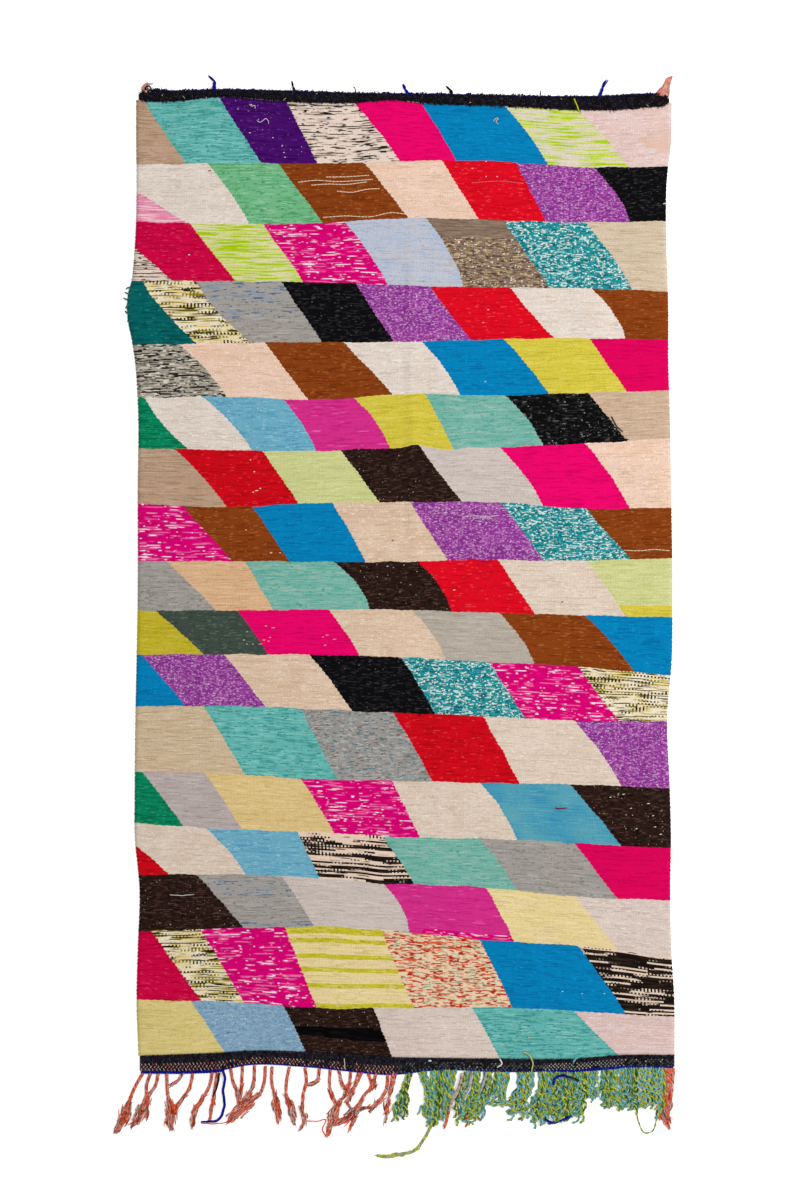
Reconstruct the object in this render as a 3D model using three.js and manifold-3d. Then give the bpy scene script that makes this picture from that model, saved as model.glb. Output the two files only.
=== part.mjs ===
// A flat-woven boucherouite rug lying open on the floor, in millimetres with +Z up.
// It is worked as four pieces on one set of warps: the woven field, a twined band at each end, and a
// twined edge cord whose warp ends hang out as a knotted fringe, coral on the left and green on the right.
// Across is +X, and along the warps is +Y, with the fringed end at the low end.

import * as THREE from 'three';
import { mergeVertices } from 'three/addons/utils/BufferGeometryUtils.js';
import loadManifold from 'manifold-3d';

const wasm = await loadManifold();
wasm.setup();

// Thicknesses of the cloth, its bands and its yarn
const FIELD_THICKNESS = 6;
const BAND_THICKNESS = 8;
const EDGE_CORD_THICKNESS = 8;
const EDGE_CORD_WIDTH = 9;
const STRAND_WIDTH = 11;
const STRAND_HEIGHT = 6.5;
const CLUMP_HEIGHT = 9;

// The selvedge and the ends are rounded over by a small chamfer
const EDGE_CHAMFER = 1.5;

// Neighbouring pieces stand this far apart
const PIECE_GAP = 0.3;

// Spacing of the points along every edge of the cloth
const EDGE_STATION = 32;

// Shape of one strand of fringe
const STRAND_STEP_LENGTH = 24;
const STRAND_LEAST_STEPS = 4;
const STRAND_ROOT_BURY = 6;
const STRAND_CREST_SHARE = 0.5;
const STRAND_TIP_SHARE = 0.3;
const SWELL_START = 0.35;
const SWELL_END = 0.72;
const TAPER_START = 0.78;

// Where the yarn of the warps changes along the fringed end
const FRINGE_LEFT = -713;
const CORAL_END = -8;
const GREEN_END = 699;
const FRINGE_RIGHT = 730;

// The two selvedges: distance along the warps, and where the left and right edges lie across
const SELVEDGES = [
  { along: 40, left: -716, right: 730 },
  { along: 190, left: -721, right: 729 },
  { along: 325, left: -718, right: 721 },
  { along: 485, left: -713, right: 718 },
  { along: 635, left: -726, right: 720 },
  { along: 755, left: -726, right: 717 },
  { along: 960, left: -724, right: 710 },
  { along: 1105, left: -721, right: 722 },
  { along: 1270, left: -718, right: 724 },
  { along: 1540, left: -718, right: 721 },
  { along: 1810, left: -718, right: 716 },
  { along: 1930, left: -726, right: 713 },
  { along: 2065, left: -745, right: 713 },
  { along: 2150, left: -734, right: 710 },
  { along: 2255, left: -724, right: 707 },
  { along: 2415, left: -721, right: 710 },
  { along: 2580, left: -722, right: 719 },
];

// The black twined band at the plain end: its lower and upper edges along the warps
const TOP_BAND = [
  { across: -716, low: 2619, high: 2634 },
  { across: -613, low: 2616, high: 2643 },
  { across: -505, low: 2628, high: 2646 },
  { across: -330, low: 2616, high: 2643 },
  { across: -130, low: 2612, high: 2637 },
  { across: -20, low: 2619, high: 2635 },
  { across: 50, low: 2611, high: 2635 },
  { across: 265, low: 2603, high: 2631 },
  { across: 480, low: 2592, high: 2628 },
  { across: 585, low: 2592, high: 2631 },
  { across: 716, low: 2608, high: 2627 },
];

// The dark twined band at the fringed end, with its edge cord along the lower edge
const BOTTOM_BAND = [
  { across: -713, low: -5, high: 38 },
  { across: -578, low: -5, high: 43 },
  { across: -490, low: 0, high: 47 },
  { across: -430, low: 12, high: 51 },
  { across: -273, low: 9, high: 49 },
  { across: -154, low: -3, high: 43 },
  { across: -46, low: -13, high: 35 },
  { across: 97, low: 0, high: 32 },
  { across: 260, low: -5, high: 30 },
  { across: 462, low: -1, high: 30 },
  { across: 590, low: 8, high: 40 },
  { across: 730, low: 7, high: 40 },
];

// Coral warp ends, left to right: root across the edge, points the strand passes by, its tip, and the
// width of its knotted or frayed belly
const CORAL_STRANDS = [
  { root: -704, by: [[-744, -100]], tip: [-778, -170], belly: 32 },
  { root: -688, by: [[-698, -78]], tip: [-724, -152], belly: 34 },
  { root: -664, by: [[-674, -48]], tip: [-680, -76], belly: 9 },
  { root: -637, by: [[-634, -97]], tip: [-622, -162], belly: 34 },
  { root: -599, by: [[-608, -25]], tip: [-618, -36], belly: 9 },
  { root: -570, by: [[-588, -68]], tip: [-600, -96], belly: 10 },
  { root: -521, by: [[-550, -78]], tip: [-572, -146], belly: 19 },
  { root: -503, by: [[-516, -85]], tip: [-526, -142], belly: 19 },
  { root: -484, by: [[-484, -40], [-486, -97]], tip: [-500, -130], belly: 8 },
  { root: -466, by: [[-460, -50]], tip: [-456, -86], belly: 10 },
  { root: -437, by: [[-438, -40]], tip: [-438, -70], belly: 9 },
  { root: -405, by: [[-409, -28]], tip: [-416, -46], belly: 9 },
  { root: -375, by: [[-384, -45], [-419, -85]], tip: [-466, -140], belly: 34 },
  { root: -355, by: [[-351, -62]], tip: [-338, -147], belly: 25 },
  { root: -313, by: [[-318, -62], [-308, -98]], tip: [-294, -150], belly: 29 },
  { root: -267, by: [[-270, -65], [-264, -120]], tip: [-282, -161], belly: 20 },
  { root: -232, by: [[-237, -28]], tip: [-252, -40], belly: 9 },
  { root: -200, by: [[-196, -55]], tip: [-190, -92], belly: 10 },
  { root: -174, by: [[-168, -22]], tip: [-160, -38], belly: 9 },
  { root: -143, by: [[-145, -17]], tip: [-147, -27], belly: 8 },
  { root: -119, by: [[-145, -58], [-182, -112]], tip: [-212, -159], belly: 34 },
  { root: -97, by: [[-106, -73], [-136, -112]], tip: [-162, -144], belly: 20 },
  { root: -75, by: [[-77, -25]], tip: [-82, -45], belly: 10 },
  { root: -49, by: [[-52, -55]], tip: [-84, -112], belly: 20 },
  { root: -24, by: [[-30, -60], [-42, -100]], tip: [-52, -147], belly: 18 },
];

// Green warp ends crowd together: how far they reach and how much they lean, along the edge
const GREEN_PITCH = 15.5;
const GREEN_RUNS = [
  { first: 0, count: 2 },
  { first: 48, count: 42 },
];
const GREEN_FILL = 0.72;
const GREEN_SHORT_SHARE = 0.86;
const GREEN_REACH = [
  { across: 0, reach: 140, lean: -0.16 },
  { across: 70, reach: 148, lean: -0.02 },
  { across: 115, reach: 150, lean: -0.08 },
  { across: 180, reach: 148, lean: -0.24 },
  { across: 235, reach: 108, lean: -0.36 },
  { across: 272, reach: 98, lean: -0.14 },
  { across: 300, reach: 130, lean: 0.0 },
  { across: 340, reach: 112, lean: 0.06 },
  { across: 367, reach: 150, lean: 0.02 },
  { across: 410, reach: 132, lean: -0.02 },
  { across: 462, reach: 134, lean: 0.0 },
  { across: 505, reach: 92, lean: 0.04 },
  { across: 545, reach: 92, lean: 0.04 },
  { across: 600, reach: 114, lean: 0.02 },
  { across: 640, reach: 96, lean: 0.0 },
  { across: 690, reach: 124, lean: -0.03 },
];

// One green end trails off along the floor to the left
const GREEN_STRAY_INDEX = 4;
const GREEN_STRAY_TAIL = [[57, -181], [27, -217], [-27, -229]];
const GREEN_STRAY_TIP = [-73, -230];

// Coral warp ends at the right corner hang as one tuft
const CORNER_STRANDS = [
  { root: 704.5, by: [[700, -70]], tip: [701, -118], belly: 8 },
  { root: 714, by: [[709, -70]], tip: [716, -160], belly: 8 },
  { root: 723.5, by: [[718.5, -70]], tip: [725, -138], belly: 8 },
];

// Yarn ends left standing out of the band at the plain end, the last one a tuft of warps that narrows
const TOP_ENDS = [
  { root: -688, by: [[-701, 2653]], tip: [-677, 2663], width: 7 },
  { root: -513, by: [[-512, 2670]], tip: [-526, 2686], width: 10 },
  { root: -294, by: [[-297, 2655]], tip: [-305, 2670], width: 6 },
  { root: 11, by: [[5, 2648]], tip: [-5, 2660], width: 7 },
  { root: 130, by: [[125, 2647]], tip: [116, 2657], width: 8 },
  { root: 524, by: [[533, 2650]], tip: [548, 2673], width: 9 },
  { root: 696, by: [[706, 2655]], tip: [726, 2686], width: 28, belly: 15 },
];

// A smooth line through one column of a table
function smoothLine(rows, position, column) {
  const positions = rows.map((row) => row[position]);
  const values = rows.map((row) => row[column]);
  const line = new THREE.CubicInterpolant(positions, values, 1);
  return (at) => line.evaluate(at)[0];
}

// Points along an edge: both its ends, and every whole station between them, so that neighbouring
// edges bend at the same places
function stations(from, to) {
  const first = Math.floor(from / EDGE_STATION) + 1;
  const last = Math.ceil(to / EDGE_STATION) - 1;
  const between = Array.from({ length: last - first + 1 }, (_, index) => (first + index) * EDGE_STATION);
  return [from, ...between, to];
}

// A flat piece of cloth of one thickness, with its upper and lower rims chamfered
function clothGeometry(outline, thickness) {
  return new THREE.ExtrudeGeometry(new THREE.Shape(outline), {
    depth: thickness - 2 * EDGE_CHAMFER,
    bevelEnabled: true,
    bevelThickness: EDGE_CHAMFER,
    bevelSize: EDGE_CHAMFER,
    bevelOffset: -EDGE_CHAMFER,
    bevelSegments: 1,
  }).translate(0, 0, EDGE_CHAMFER);
}

// A band across the warps between two lines, from one place across to another
function bandOutline(from, to, lowLine, highLine) {
  const across = stations(from, to);
  const low = across.map((at) => new THREE.Vector2(at, lowLine(at)));
  const high = across.map((at) => new THREE.Vector2(at, highLine(at)));
  return [...low, ...high.reverse()];
}

// The woven field between the two bands, with its two uneven selvedges
function fieldOutline(lowLine, highLine) {
  const left = smoothLine(SELVEDGES, 'along', 'left');
  const right = smoothLine(SELVEDGES, 'along', 'right');
  const bottom = SELVEDGES[0];
  const top = SELVEDGES.at(-1);
  const topLeft = TOP_BAND[0].across;
  const topRight = TOP_BAND.at(-1).across;
  const up = stations(bottom.along, top.along).slice(1);
  return [
    ...stations(bottom.left, bottom.right).map((at) => new THREE.Vector2(at, lowLine(at))),
    ...up.map((at) => new THREE.Vector2(right(at), at)),
    ...stations(topLeft, topRight).reverse().map((at) => new THREE.Vector2(at, highLine(at))),
    ...up.reverse().map((at) => new THREE.Vector2(left(at), at)),
  ];
}

// A four-sided strand lying on the floor along a curve: it swells to its belly and thins to its tip
function strandGeometry(points, width, belly) {
  const route = new THREE.SplineCurve(points.map(([across, along]) => new THREE.Vector2(across, along)));
  const steps = Math.max(STRAND_LEAST_STEPS, Math.ceil(route.getLength() / STRAND_STEP_LENGTH));
  const geometry = new THREE.BoxGeometry(1, 1, 1, 1, steps, 1);
  const corner = geometry.attributes.position;
  for (let index = 0; index < corner.count; index += 1) {
    const along = corner.getY(index) + 0.5;
    const upward = corner.getZ(index) + 0.5;
    const place = route.getPointAt(along);
    const heading = route.getTangentAt(along);
    const swell = THREE.MathUtils.smoothstep(along, SWELL_START, SWELL_END);
    const thinning = 1 - (1 - STRAND_TIP_SHARE) * THREE.MathUtils.smoothstep(along, TAPER_START, 1);
    const crest = THREE.MathUtils.lerp(1, STRAND_CREST_SHARE, upward);
    const reach = corner.getX(index) * THREE.MathUtils.lerp(width, belly, swell) * thinning * crest;
    const fullHeight = belly > STRAND_WIDTH ? CLUMP_HEIGHT : STRAND_HEIGHT;
    const height = THREE.MathUtils.lerp(STRAND_HEIGHT, fullHeight, swell) * thinning;
    corner.setXYZ(index, place.x + heading.y * reach, place.y - heading.x * reach, upward * height);
  }
  return geometry;
}

// A solid for joining, from a geometry whose shared corners are merged
function solidOf(geometry) {
  const bare = geometry.clone();
  bare.deleteAttribute('normal');
  bare.deleteAttribute('uv');
  const merged = mergeVertices(bare);
  return new wasm.Manifold(new wasm.Mesh({
    numProp: 3,
    vertProperties: new Float32Array(merged.attributes.position.array),
    triVerts: new Uint32Array(merged.index.array),
  }));
}

// One geometry of a backing strip with its strands fused to it at their roots
function fused(backing, strands) {
  const solid = strands.reduce((whole, strand) => whole.add(solidOf(strand)), solidOf(backing));
  const mesh = solid.getMesh();
  const geometry = new THREE.BufferGeometry();
  geometry.setAttribute('position', new THREE.BufferAttribute(new Float32Array(mesh.vertProperties), 3));
  geometry.setIndex(new THREE.BufferAttribute(new Uint32Array(mesh.triVerts), 1));
  geometry.computeVertexNormals();
  return geometry;
}

// The whole route of a fringe strand, from inside its edge cord to its tip
function fringeStrand({ root, by, tip, belly }, edgeLine) {
  const points = [[root, edgeLine(root) + STRAND_ROOT_BURY], ...by, tip];
  return strandGeometry(points, Math.min(STRAND_WIDTH, belly), belly);
}

// The crowded green ends: evenly rooted, with every other one a little shorter, and as wide as fits
function greenStrands(edgeLine) {
  const reachLine = smoothLine(GREEN_REACH, 'across', 'reach');
  const leanLine = smoothLine(GREEN_REACH, 'across', 'lean');
  const tipAcross = (root) => root + leanLine(root) * reachLine(root);
  const roots = GREEN_RUNS.flatMap(({ first, count }) => (
    Array.from({ length: count }, (_, index) => first + index * GREEN_PITCH)
  ));
  return roots.map((root, index) => {
    const share = index % 2 === 0 ? 1 : GREEN_SHORT_SHARE;
    const reach = reachLine(root) * share;
    const across = root + leanLine(root) * reach;
    const spacing = tipAcross(root + GREEN_PITCH / 2) - tipAcross(root - GREEN_PITCH / 2);
    const belly = GREEN_FILL * Math.min(GREEN_PITCH, spacing);
    const middle = [(root + across) / 2, -reach / 2];
    const stray = index === GREEN_STRAY_INDEX;
    const by = stray ? [middle, [across, -reach], ...GREEN_STRAY_TAIL] : [middle];
    const tip = stray ? GREEN_STRAY_TIP : [across, -reach];
    return fringeStrand({ root, by, tip, belly }, edgeLine);
  });
}

// A yarn end standing out of the band at the plain end
function topEnd({ root, by, tip, width, belly = width }, edgeLine) {
  return strandGeometry([[root, edgeLine(root) - STRAND_ROOT_BURY], ...by, tip], width, belly);
}

function yarn(color, roughness) {
  return new THREE.MeshStandardMaterial({ color, roughness, metalness: 0 });
}

function piece(name, geometry, material) {
  const mesh = new THREE.Mesh(geometry, material);
  mesh.name = name;
  return mesh;
}

const topLow = smoothLine(TOP_BAND, 'across', 'low');
const topHigh = smoothLine(TOP_BAND, 'across', 'high');
const bottomLow = smoothLine(BOTTOM_BAND, 'across', 'low');
const bottomHigh = smoothLine(BOTTOM_BAND, 'across', 'high');
const cordHigh = (at) => bottomLow(at) + EDGE_CORD_WIDTH;

const field = clothGeometry(
  fieldOutline((at) => bottomHigh(at) + PIECE_GAP, (at) => topLow(at) - PIECE_GAP),
  FIELD_THICKNESS,
);
const topStrip = clothGeometry(
  bandOutline(TOP_BAND[0].across, TOP_BAND.at(-1).across, topLow, topHigh),
  BAND_THICKNESS,
);
const bottomStrip = clothGeometry(
  bandOutline(FRINGE_LEFT, FRINGE_RIGHT, (at) => cordHigh(at) + PIECE_GAP, bottomHigh),
  BAND_THICKNESS,
);

// One stretch of the edge cord with the warp ends that leave it
function fringe(from, to, strands) {
  const cord = clothGeometry(bandOutline(from, to, bottomLow, cordHigh), EDGE_CORD_THICKNESS);
  return fused(cord, strands);
}

const topEnds = TOP_ENDS.map((row) => topEnd(row, topHigh));
const coralStrands = CORAL_STRANDS.map((row) => fringeStrand(row, bottomLow));
const cornerStrands = CORNER_STRANDS.map((row) => fringeStrand(row, bottomLow));

const plainEnd = fused(topStrip, topEnds);
const coralFringe = fringe(FRINGE_LEFT, CORAL_END - PIECE_GAP, coralStrands);
const greenFringe = fringe(CORAL_END, GREEN_END - PIECE_GAP, greenStrands(bottomLow));
const cornerFringe = fringe(GREEN_END, FRINGE_RIGHT, cornerStrands);

const rug = new THREE.Group();
rug.add(
  piece('woven_field', field, yarn('#b9a08c', 0.9)),
  piece('top_band', plainEnd, yarn('#121013', 0.92)),
  piece('bottom_band', bottomStrip, yarn('#2a2730', 0.92)),
  piece('coral_fringe', coralFringe, yarn('#d9583a', 0.9)),
  piece('green_fringe', greenFringe, yarn('#8fae5a', 0.9)),
  piece('corner_fringe', cornerFringe, yarn('#d9583a', 0.9)),
);

// The origin is under the middle of the whole rug, fringe included, on the floor
const middle = new THREE.Box3().setFromObject(rug).getCenter(new THREE.Vector3());
rug.position.set(-middle.x, -middle.y, 0);

export default rug;
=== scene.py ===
import functools
import math
import random
import statistics

import bmesh
import bpy
import numpy as np
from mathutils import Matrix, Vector, noise


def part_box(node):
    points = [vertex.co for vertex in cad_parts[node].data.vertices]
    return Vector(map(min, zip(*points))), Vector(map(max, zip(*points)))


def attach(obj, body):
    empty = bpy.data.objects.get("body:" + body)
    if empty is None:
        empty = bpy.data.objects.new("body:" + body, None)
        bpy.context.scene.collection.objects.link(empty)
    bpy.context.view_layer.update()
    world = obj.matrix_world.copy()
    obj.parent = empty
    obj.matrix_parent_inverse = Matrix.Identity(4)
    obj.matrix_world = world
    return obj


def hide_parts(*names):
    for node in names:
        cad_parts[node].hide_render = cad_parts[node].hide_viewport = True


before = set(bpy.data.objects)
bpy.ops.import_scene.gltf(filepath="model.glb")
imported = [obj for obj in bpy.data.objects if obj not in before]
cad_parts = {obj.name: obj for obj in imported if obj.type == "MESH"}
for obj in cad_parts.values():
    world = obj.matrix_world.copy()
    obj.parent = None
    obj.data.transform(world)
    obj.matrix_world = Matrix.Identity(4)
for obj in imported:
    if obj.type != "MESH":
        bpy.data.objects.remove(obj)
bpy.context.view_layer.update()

# Sizes are in millimetres on the rug: across from its middle warp, along from its fringed edge
MM = 0.001
TINY = 1e-9
FIELD_THICKNESS = 6.0
PIECE_GAP = 0.3

# The weave: pairs of warps counted across the cloth, their pitch, and the height of a row, which is two
# shots. Beads stand above and below a surface that lies a little under the full thickness and ripples
WARPS = 150
WARP_PITCH = 9.6
ROW_HEIGHT = 5.2
BEAD_RISE = 0.7
SURFACE_DROP = 0.6
RIPPLE_RISE = 0.5
RIPPLE_SIZE = 90
RIPPLE_LAYER = 2.0

# The low, soft ridge along the middle where the rug lay folded, steeper on its left side. The higher the
# fade, the shorter its ends
FOLD_ENDS = (1300, 2270)
FOLD_PLACE = 21
FOLD_LEAN = -9
FOLD_WIDTHS = (7, 26)
FOLD_RISE = 4.2
FOLD_FADE = 6

# How joints and course lines waver: in warps for the joints, in millimetres for the lines. A pace says how
# quickly they waver, by row, joint and course for the joints, and by warp for the lines
JOINT_BOW = 0.3
JOINT_WANDER = 0.32
JOINT_PACES = (0.2, 5.3, 3.1)
JOINT_STEP = 0.12
JOINT_TOOTH = 0.13
JOINT_REACH = 0.8
LEAST_WARP = 0.06
COURSE_TOOTH = 0.6
COURSE_WANDER = 2.0
COURSE_PACE = 0.22
COURSE_LAYER = 1.0
COURSE_SWAY = 1.8
SWAY_WAVES = [(37, 5), (21, 3)]

# Rounding at the rims, as shares of the thickness, and the weft's turns along the selvedges. ON_RIM is how
# far from the middle of a slab of size one its rim begins
RIM_SHARE = 0.62
UNDER_RIM_SHARE = 0.15
ON_RIM = 0.4999
PLAN_INSET = 0.98
SELVEDGE_SCALLOP = 2.0
SCALLOP_TURN = 0.5
SCALLOP_WANDER = 0.7
SCALLOP_PACE = 0.7

# The bands: dark ground cloth with rows of stitches over it. The real stitches are about half as wide; they
# are drawn coarser so that the herringbone of dark and bright stitches shows
GROUND_THICKNESS = 5.6
GROUND_STEP = 12.0
GROUND_ROWS = 4
STITCH_ROWS = 6
STITCH_PITCH = 5.0
STITCH_LEAN = 2.2
STITCH_RADIUS = 2.2
BRIGHT_RADIUS_SHARE = 0.62
STRAY_STITCH = 4.0

# One stitch: stations along its half length, its place in the row and its half length in rows, how it arches
# over the ground and tapers, and how far it slips across, along and in height
STITCH_STATIONS = np.array([-1.0, -0.45, 0.45, 1.0])
STITCH_SEAT = 0.55
STITCH_HALF = 0.55
STITCH_ARCH = (0.5, 0.9)
STITCH_TAPER = 0.5
STITCH_SLIP = (0.4, 0.6, 0.3)

# Yarns of the stitches. In the speckled rows every second stitch is bright or dim. Pairs are for the coral
# and the green side of the fringed end
TOP_STITCHES = ["black_twine", "black_twine", "charcoal_twine"]
DARK_STITCHES = ["navy_twine", "navy_twine", "black_twine"]
DIM_STITCHES = ("umber_warp", "ash_twine")
BRIGHT_STITCHES = (
    ["faded_coral_warp", "rose_grey_warp"],
    ["olive_thread", "cream_thread", "lilac_grey_warp", "lilac_grey_warp"],
)
SPECKLED_ROWS = (3, 4)
DIM_SHARE = 0.6

# How many of the bright stitches show, by place across. Most of the others are dim
BRIGHT_SHOWING = [
    (-713, 0.95), (-491, 0.95), (-480, 0.6), (-362, 0.6), (-330, 0.9), (-281, 0.9), (-254, 0.5), (-105, 0.5),
    (-86, 0.95), (-32, 0.95), (-5, 0.0), (124, 0.0), (146, 0.12), (259, 0.12), (281, 0.0), (373, 0.0),
    (389, 0.95), (578, 0.95), (594, 0.3), (702, 0.2), (713, 0.0), (730, 0.0),
]

# Hairs of the black band: yarns and their shares, the share that stands inside the band and not on its
# edges, and the form of a hair
FUZZ_COUNT = 1200
FUZZ_YARNS = ["black_twine", "charcoal_twine", "indigo_twine", "cream_thread"]
FUZZ_SHARES = [66, 27, 6, 1]
FUZZ_INSIDE = 0.6
FUZZ_END_MARGIN = 4
FUZZ_EDGE_MARGIN = 3
FUZZ_LENGTH = (4, 10)
FUZZ_BEND = 1.5
FUZZ_HEIGHTS = (7.0, 8.6, 7.4)
FUZZ_STEP = 1.5
FUZZ_RADIUS = 1.0
FUZZ_TAPER = 0.5

# Where the band ends lie, and where the warp yarn changes along the fringed end
TOP_LEFT = -716
TOP_RIGHT = 716
FRINGE_LEFT = -713
CORAL_END = -8
FRINGE_RIGHT = 730

# Plies twisted together: how far each lies from the middle, and how thick it is, as shares of the radius
PLY_ASIDE = 0.5
PLY_SHARE = 0.58
CORD_PLY_SHARE = 0.62

# The cords along the edges: their ends, and their radius by place across. Where the one at the fringed end is
# thin, it is tucked up towards its band
TOP_CORD_ENDS = (-712, 712)
TOP_CORD_RADII = [(-716, 2.6), (716, 2.6)]
TOP_CORD_INSET = 1.5
CORD_ENDS = (-709, 728)
CORD_RADII = [
    (-713, 4.4), (-495, 4.4), (-485, 2.6), (373, 2.6), (460, 4.4), (575, 4.4), (590, 3.2), (730, 3.2),
]
CORD_WIDEST = max(radius for _, radius in CORD_RADII)
CORD_TUCK = 1.4
CORD_ROOM = 4.0
CORD_HEIGHT = 5.0
CORD_TURN = 15.0
CORD_STEP = 2.4

# Routes: the fewest steps along one, and the starts of waves along it, in radians
LEAST_STEPS = 4
WAVE_STARTS = (0, 6)

# Warp ends: plies that are twisted at the root, then swell, come loose and close again at the tip. Places
# along a strand are shares of its length
STRAND_STEP = 4.0
STRAND_PLY = 0.27
PLY_TURN = 24.0
PLY_SLIP = (0, 0.6)
PLY_SPREAD = (0.4, 0.9)
PLY_LIFT = 0.6
PLY_WAVE = 2.0
PLY_WAVE_LENGTH = (6, 12)
PLY_LUMP = 0.16
PLY_LUMP_LENGTH = (3, 5)
SWELL_START = 0.35
SWELL_END = 0.72
SWELL_SINK = 0.6
SWELL_THINNING = 0.2
SWELL_CLOSING = 0.75
TIP_START = 0.82
TIP_TAPER = 0.65

# Loose fibres along the frayed part of a warp end
FRAY_STATIONS = np.linspace(-1, 1, 6)
FRAY_PLACES = (0.42, 0.97)
FRAY_LENGTH = (14, 36)
FRAY_SPREAD = 0.2
FRAY_BEND = 3
FRAY_RADIUS = (1.2, 2.3)
FRAY_TAPER = 0.45
FRAY_HEIGHT = (3, 8)
FRAY_DROOP = (0, 2)

# Coral warp ends: wide ones have more plies, and more loose fibres
CORAL_WIDTH = 10.0
CORAL_SWELL = 1.2
CORAL_LEAST_PLIES = 4
CORAL_PLY_ROOM = 6
CORAL_FIBRES = 1.3
CORAL_PLIES = [
    "coral_warp", "faded_coral_warp", "coral_warp", "rose_grey_warp", "rust_warp", "coral_warp",
    "faded_coral_warp", "coral_warp", "umber_warp", "rose_grey_warp",
]

# Green warp ends: pairs of thin yarns that curl in locks, in a low pile
# The dark pine yarn in the pairs is partly a real dark yarn and partly painted shade among the curls
GREEN_PAIRS = [
    ("lime_warp", "teal_warp"), ("lime_warp", "sky_warp"), ("sky_warp", "moss_warp"),
    ("lime_warp", "pine_warp"), ("moss_warp", "teal_warp"), ("mustard_warp", "teal_warp"),
    ("lime_warp", "teal_warp"), ("lime_warp", "moss_warp"), ("pine_warp", "lime_warp"),
]
GREEN_STEP = 3.4
GREEN_RADIUS = 3.8
GREEN_UNEVENNESS = (0.8, 1.15)
GREEN_TURN = (16.0, 34.0)
GREEN_WAVE = (3.0, 7.5)
GREEN_WAVE_SIZE = (1.5, 3.5)
GREEN_CURL = (0.2, 1.5)
GREEN_CURL_LENGTH = 0.8
GREEN_LOOSE = (0.1, 0.6)
GREEN_LEAST_LOOSE = 0.2
GREEN_HEIGHT = 3.5
GREEN_PILE = (0, 6)
GREEN_PILE_PACE = 3
GREEN_BOB = 2
GREEN_BOB_PACE = 0.7
LOCK_TUCK = 3
LOCK_SCATTER = 2
LOCK_REACH = (0.88, 1.04)
STRAY_STEP = 3.6

# Straighter yarns on the floor below the green locks, which keep the floor from showing through them. The
# dark pine yarn among them is partly a real dark yarn and partly painted shade deep in the locks
UNDER_YARNS = ["pine_warp", "moss_warp", "teal_warp"]
UNDER_STEP = 5.0
UNDER_RADIUS = 3.08
UNDER_TAPER = 0.5
UNDER_REACH = 0.9
UNDER_WAVE = 2.5
UNDER_WAVE_LENGTH = (5, 9)

# Yarn ends at the plain end. From the tuft's width on, an end is a tuft of many plies
END_TUCK = 5
END_PLIES = 2
END_WIDEST = 12
TUFT_WIDTH = 13
TUFT_PLIES = 7

# Loose threads, odd wefts that dip between the beads, and slubs
LOOSE_STEP = 3.0
LOOSE_WAVE = 0.4
LOOSE_WAVE_LENGTH = 26.0
LOOSE_TIP = 0.8
LOOSE_TAPER = 0.4
ODD_LINE_RADIUS = 1.3
ODD_LINE_DIP = 1.7
ODD_LINE_SINK = 0.2
SLUB_STATIONS = np.linspace(-1, 1, 5)
SLUB_RADIUS = 1.3
SLUB_LIFT = 0.3
SLUB_LEAN = 0.6
SLUB_TAPER = 0.5

# The stage: the sizes of the floor and the lamp are in metres
FLOOR_SIZE = 30.0
FLOOR_WHITE = 0.98
FLOOR_GLOW = 0.3
FLOOR_ROUGHNESS = 0.95
ROOM_LIGHT = 0.74
LAMP_SIZE = 3.0
LAMP_POWER = 268
LAMP_PLACE = (3750, 2850, 4800)
VIEW_MIDDLE = (-10.8, 1269)
VIEW_LENGTH = 3240.0
VIEW_DEPTH = 100
CAMERA_HEIGHT = 7000.0
SENSOR_WIDTH = 36

# The two selvedges: distance along the warps, and where the left and right edges lie across
SELVEDGES = [
    (40, -716, 730), (190, -721, 729), (325, -718, 721), (485, -713, 718), (635, -726, 720),
    (755, -726, 717), (960, -724, 710), (1105, -721, 722), (1270, -718, 724), (1540, -718, 721),
    (1810, -718, 716), (1910, -725, 713), (1965, -733, 713), (2035, -746, 713), (2090, -745, 712),
    (2135, -734, 711), (2180, -729, 709), (2255, -724, 707), (2415, -721, 710), (2500, -722, 720),
    (2580, -722, 722),
]

# The band at the plain end: place across, lower edge, upper edge
TOP_BAND = [
    (-716, 2620, 2634), (-700, 2617, 2641), (-613, 2616, 2643), (-505, 2628, 2646), (-330, 2616, 2643),
    (-130, 2612, 2637), (-20, 2619, 2635), (50, 2611, 2635), (265, 2603, 2631), (480, 2592, 2628),
    (585, 2593, 2631), (660, 2600, 2635), (704, 2605, 2631), (716, 2611, 2623),
]

# The band at the fringed end, with its edge cord along the lower edge
BOTTOM_BAND = [
    (-713, -5, 38), (-578, -5, 43), (-490, 0, 47), (-430, 12, 51), (-273, 9, 49), (-154, -3, 43),
    (-46, -13, 35), (97, 0, 32), (260, -5, 30), (462, -1, 30), (590, 8, 40), (730, 7, 40),
]

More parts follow.
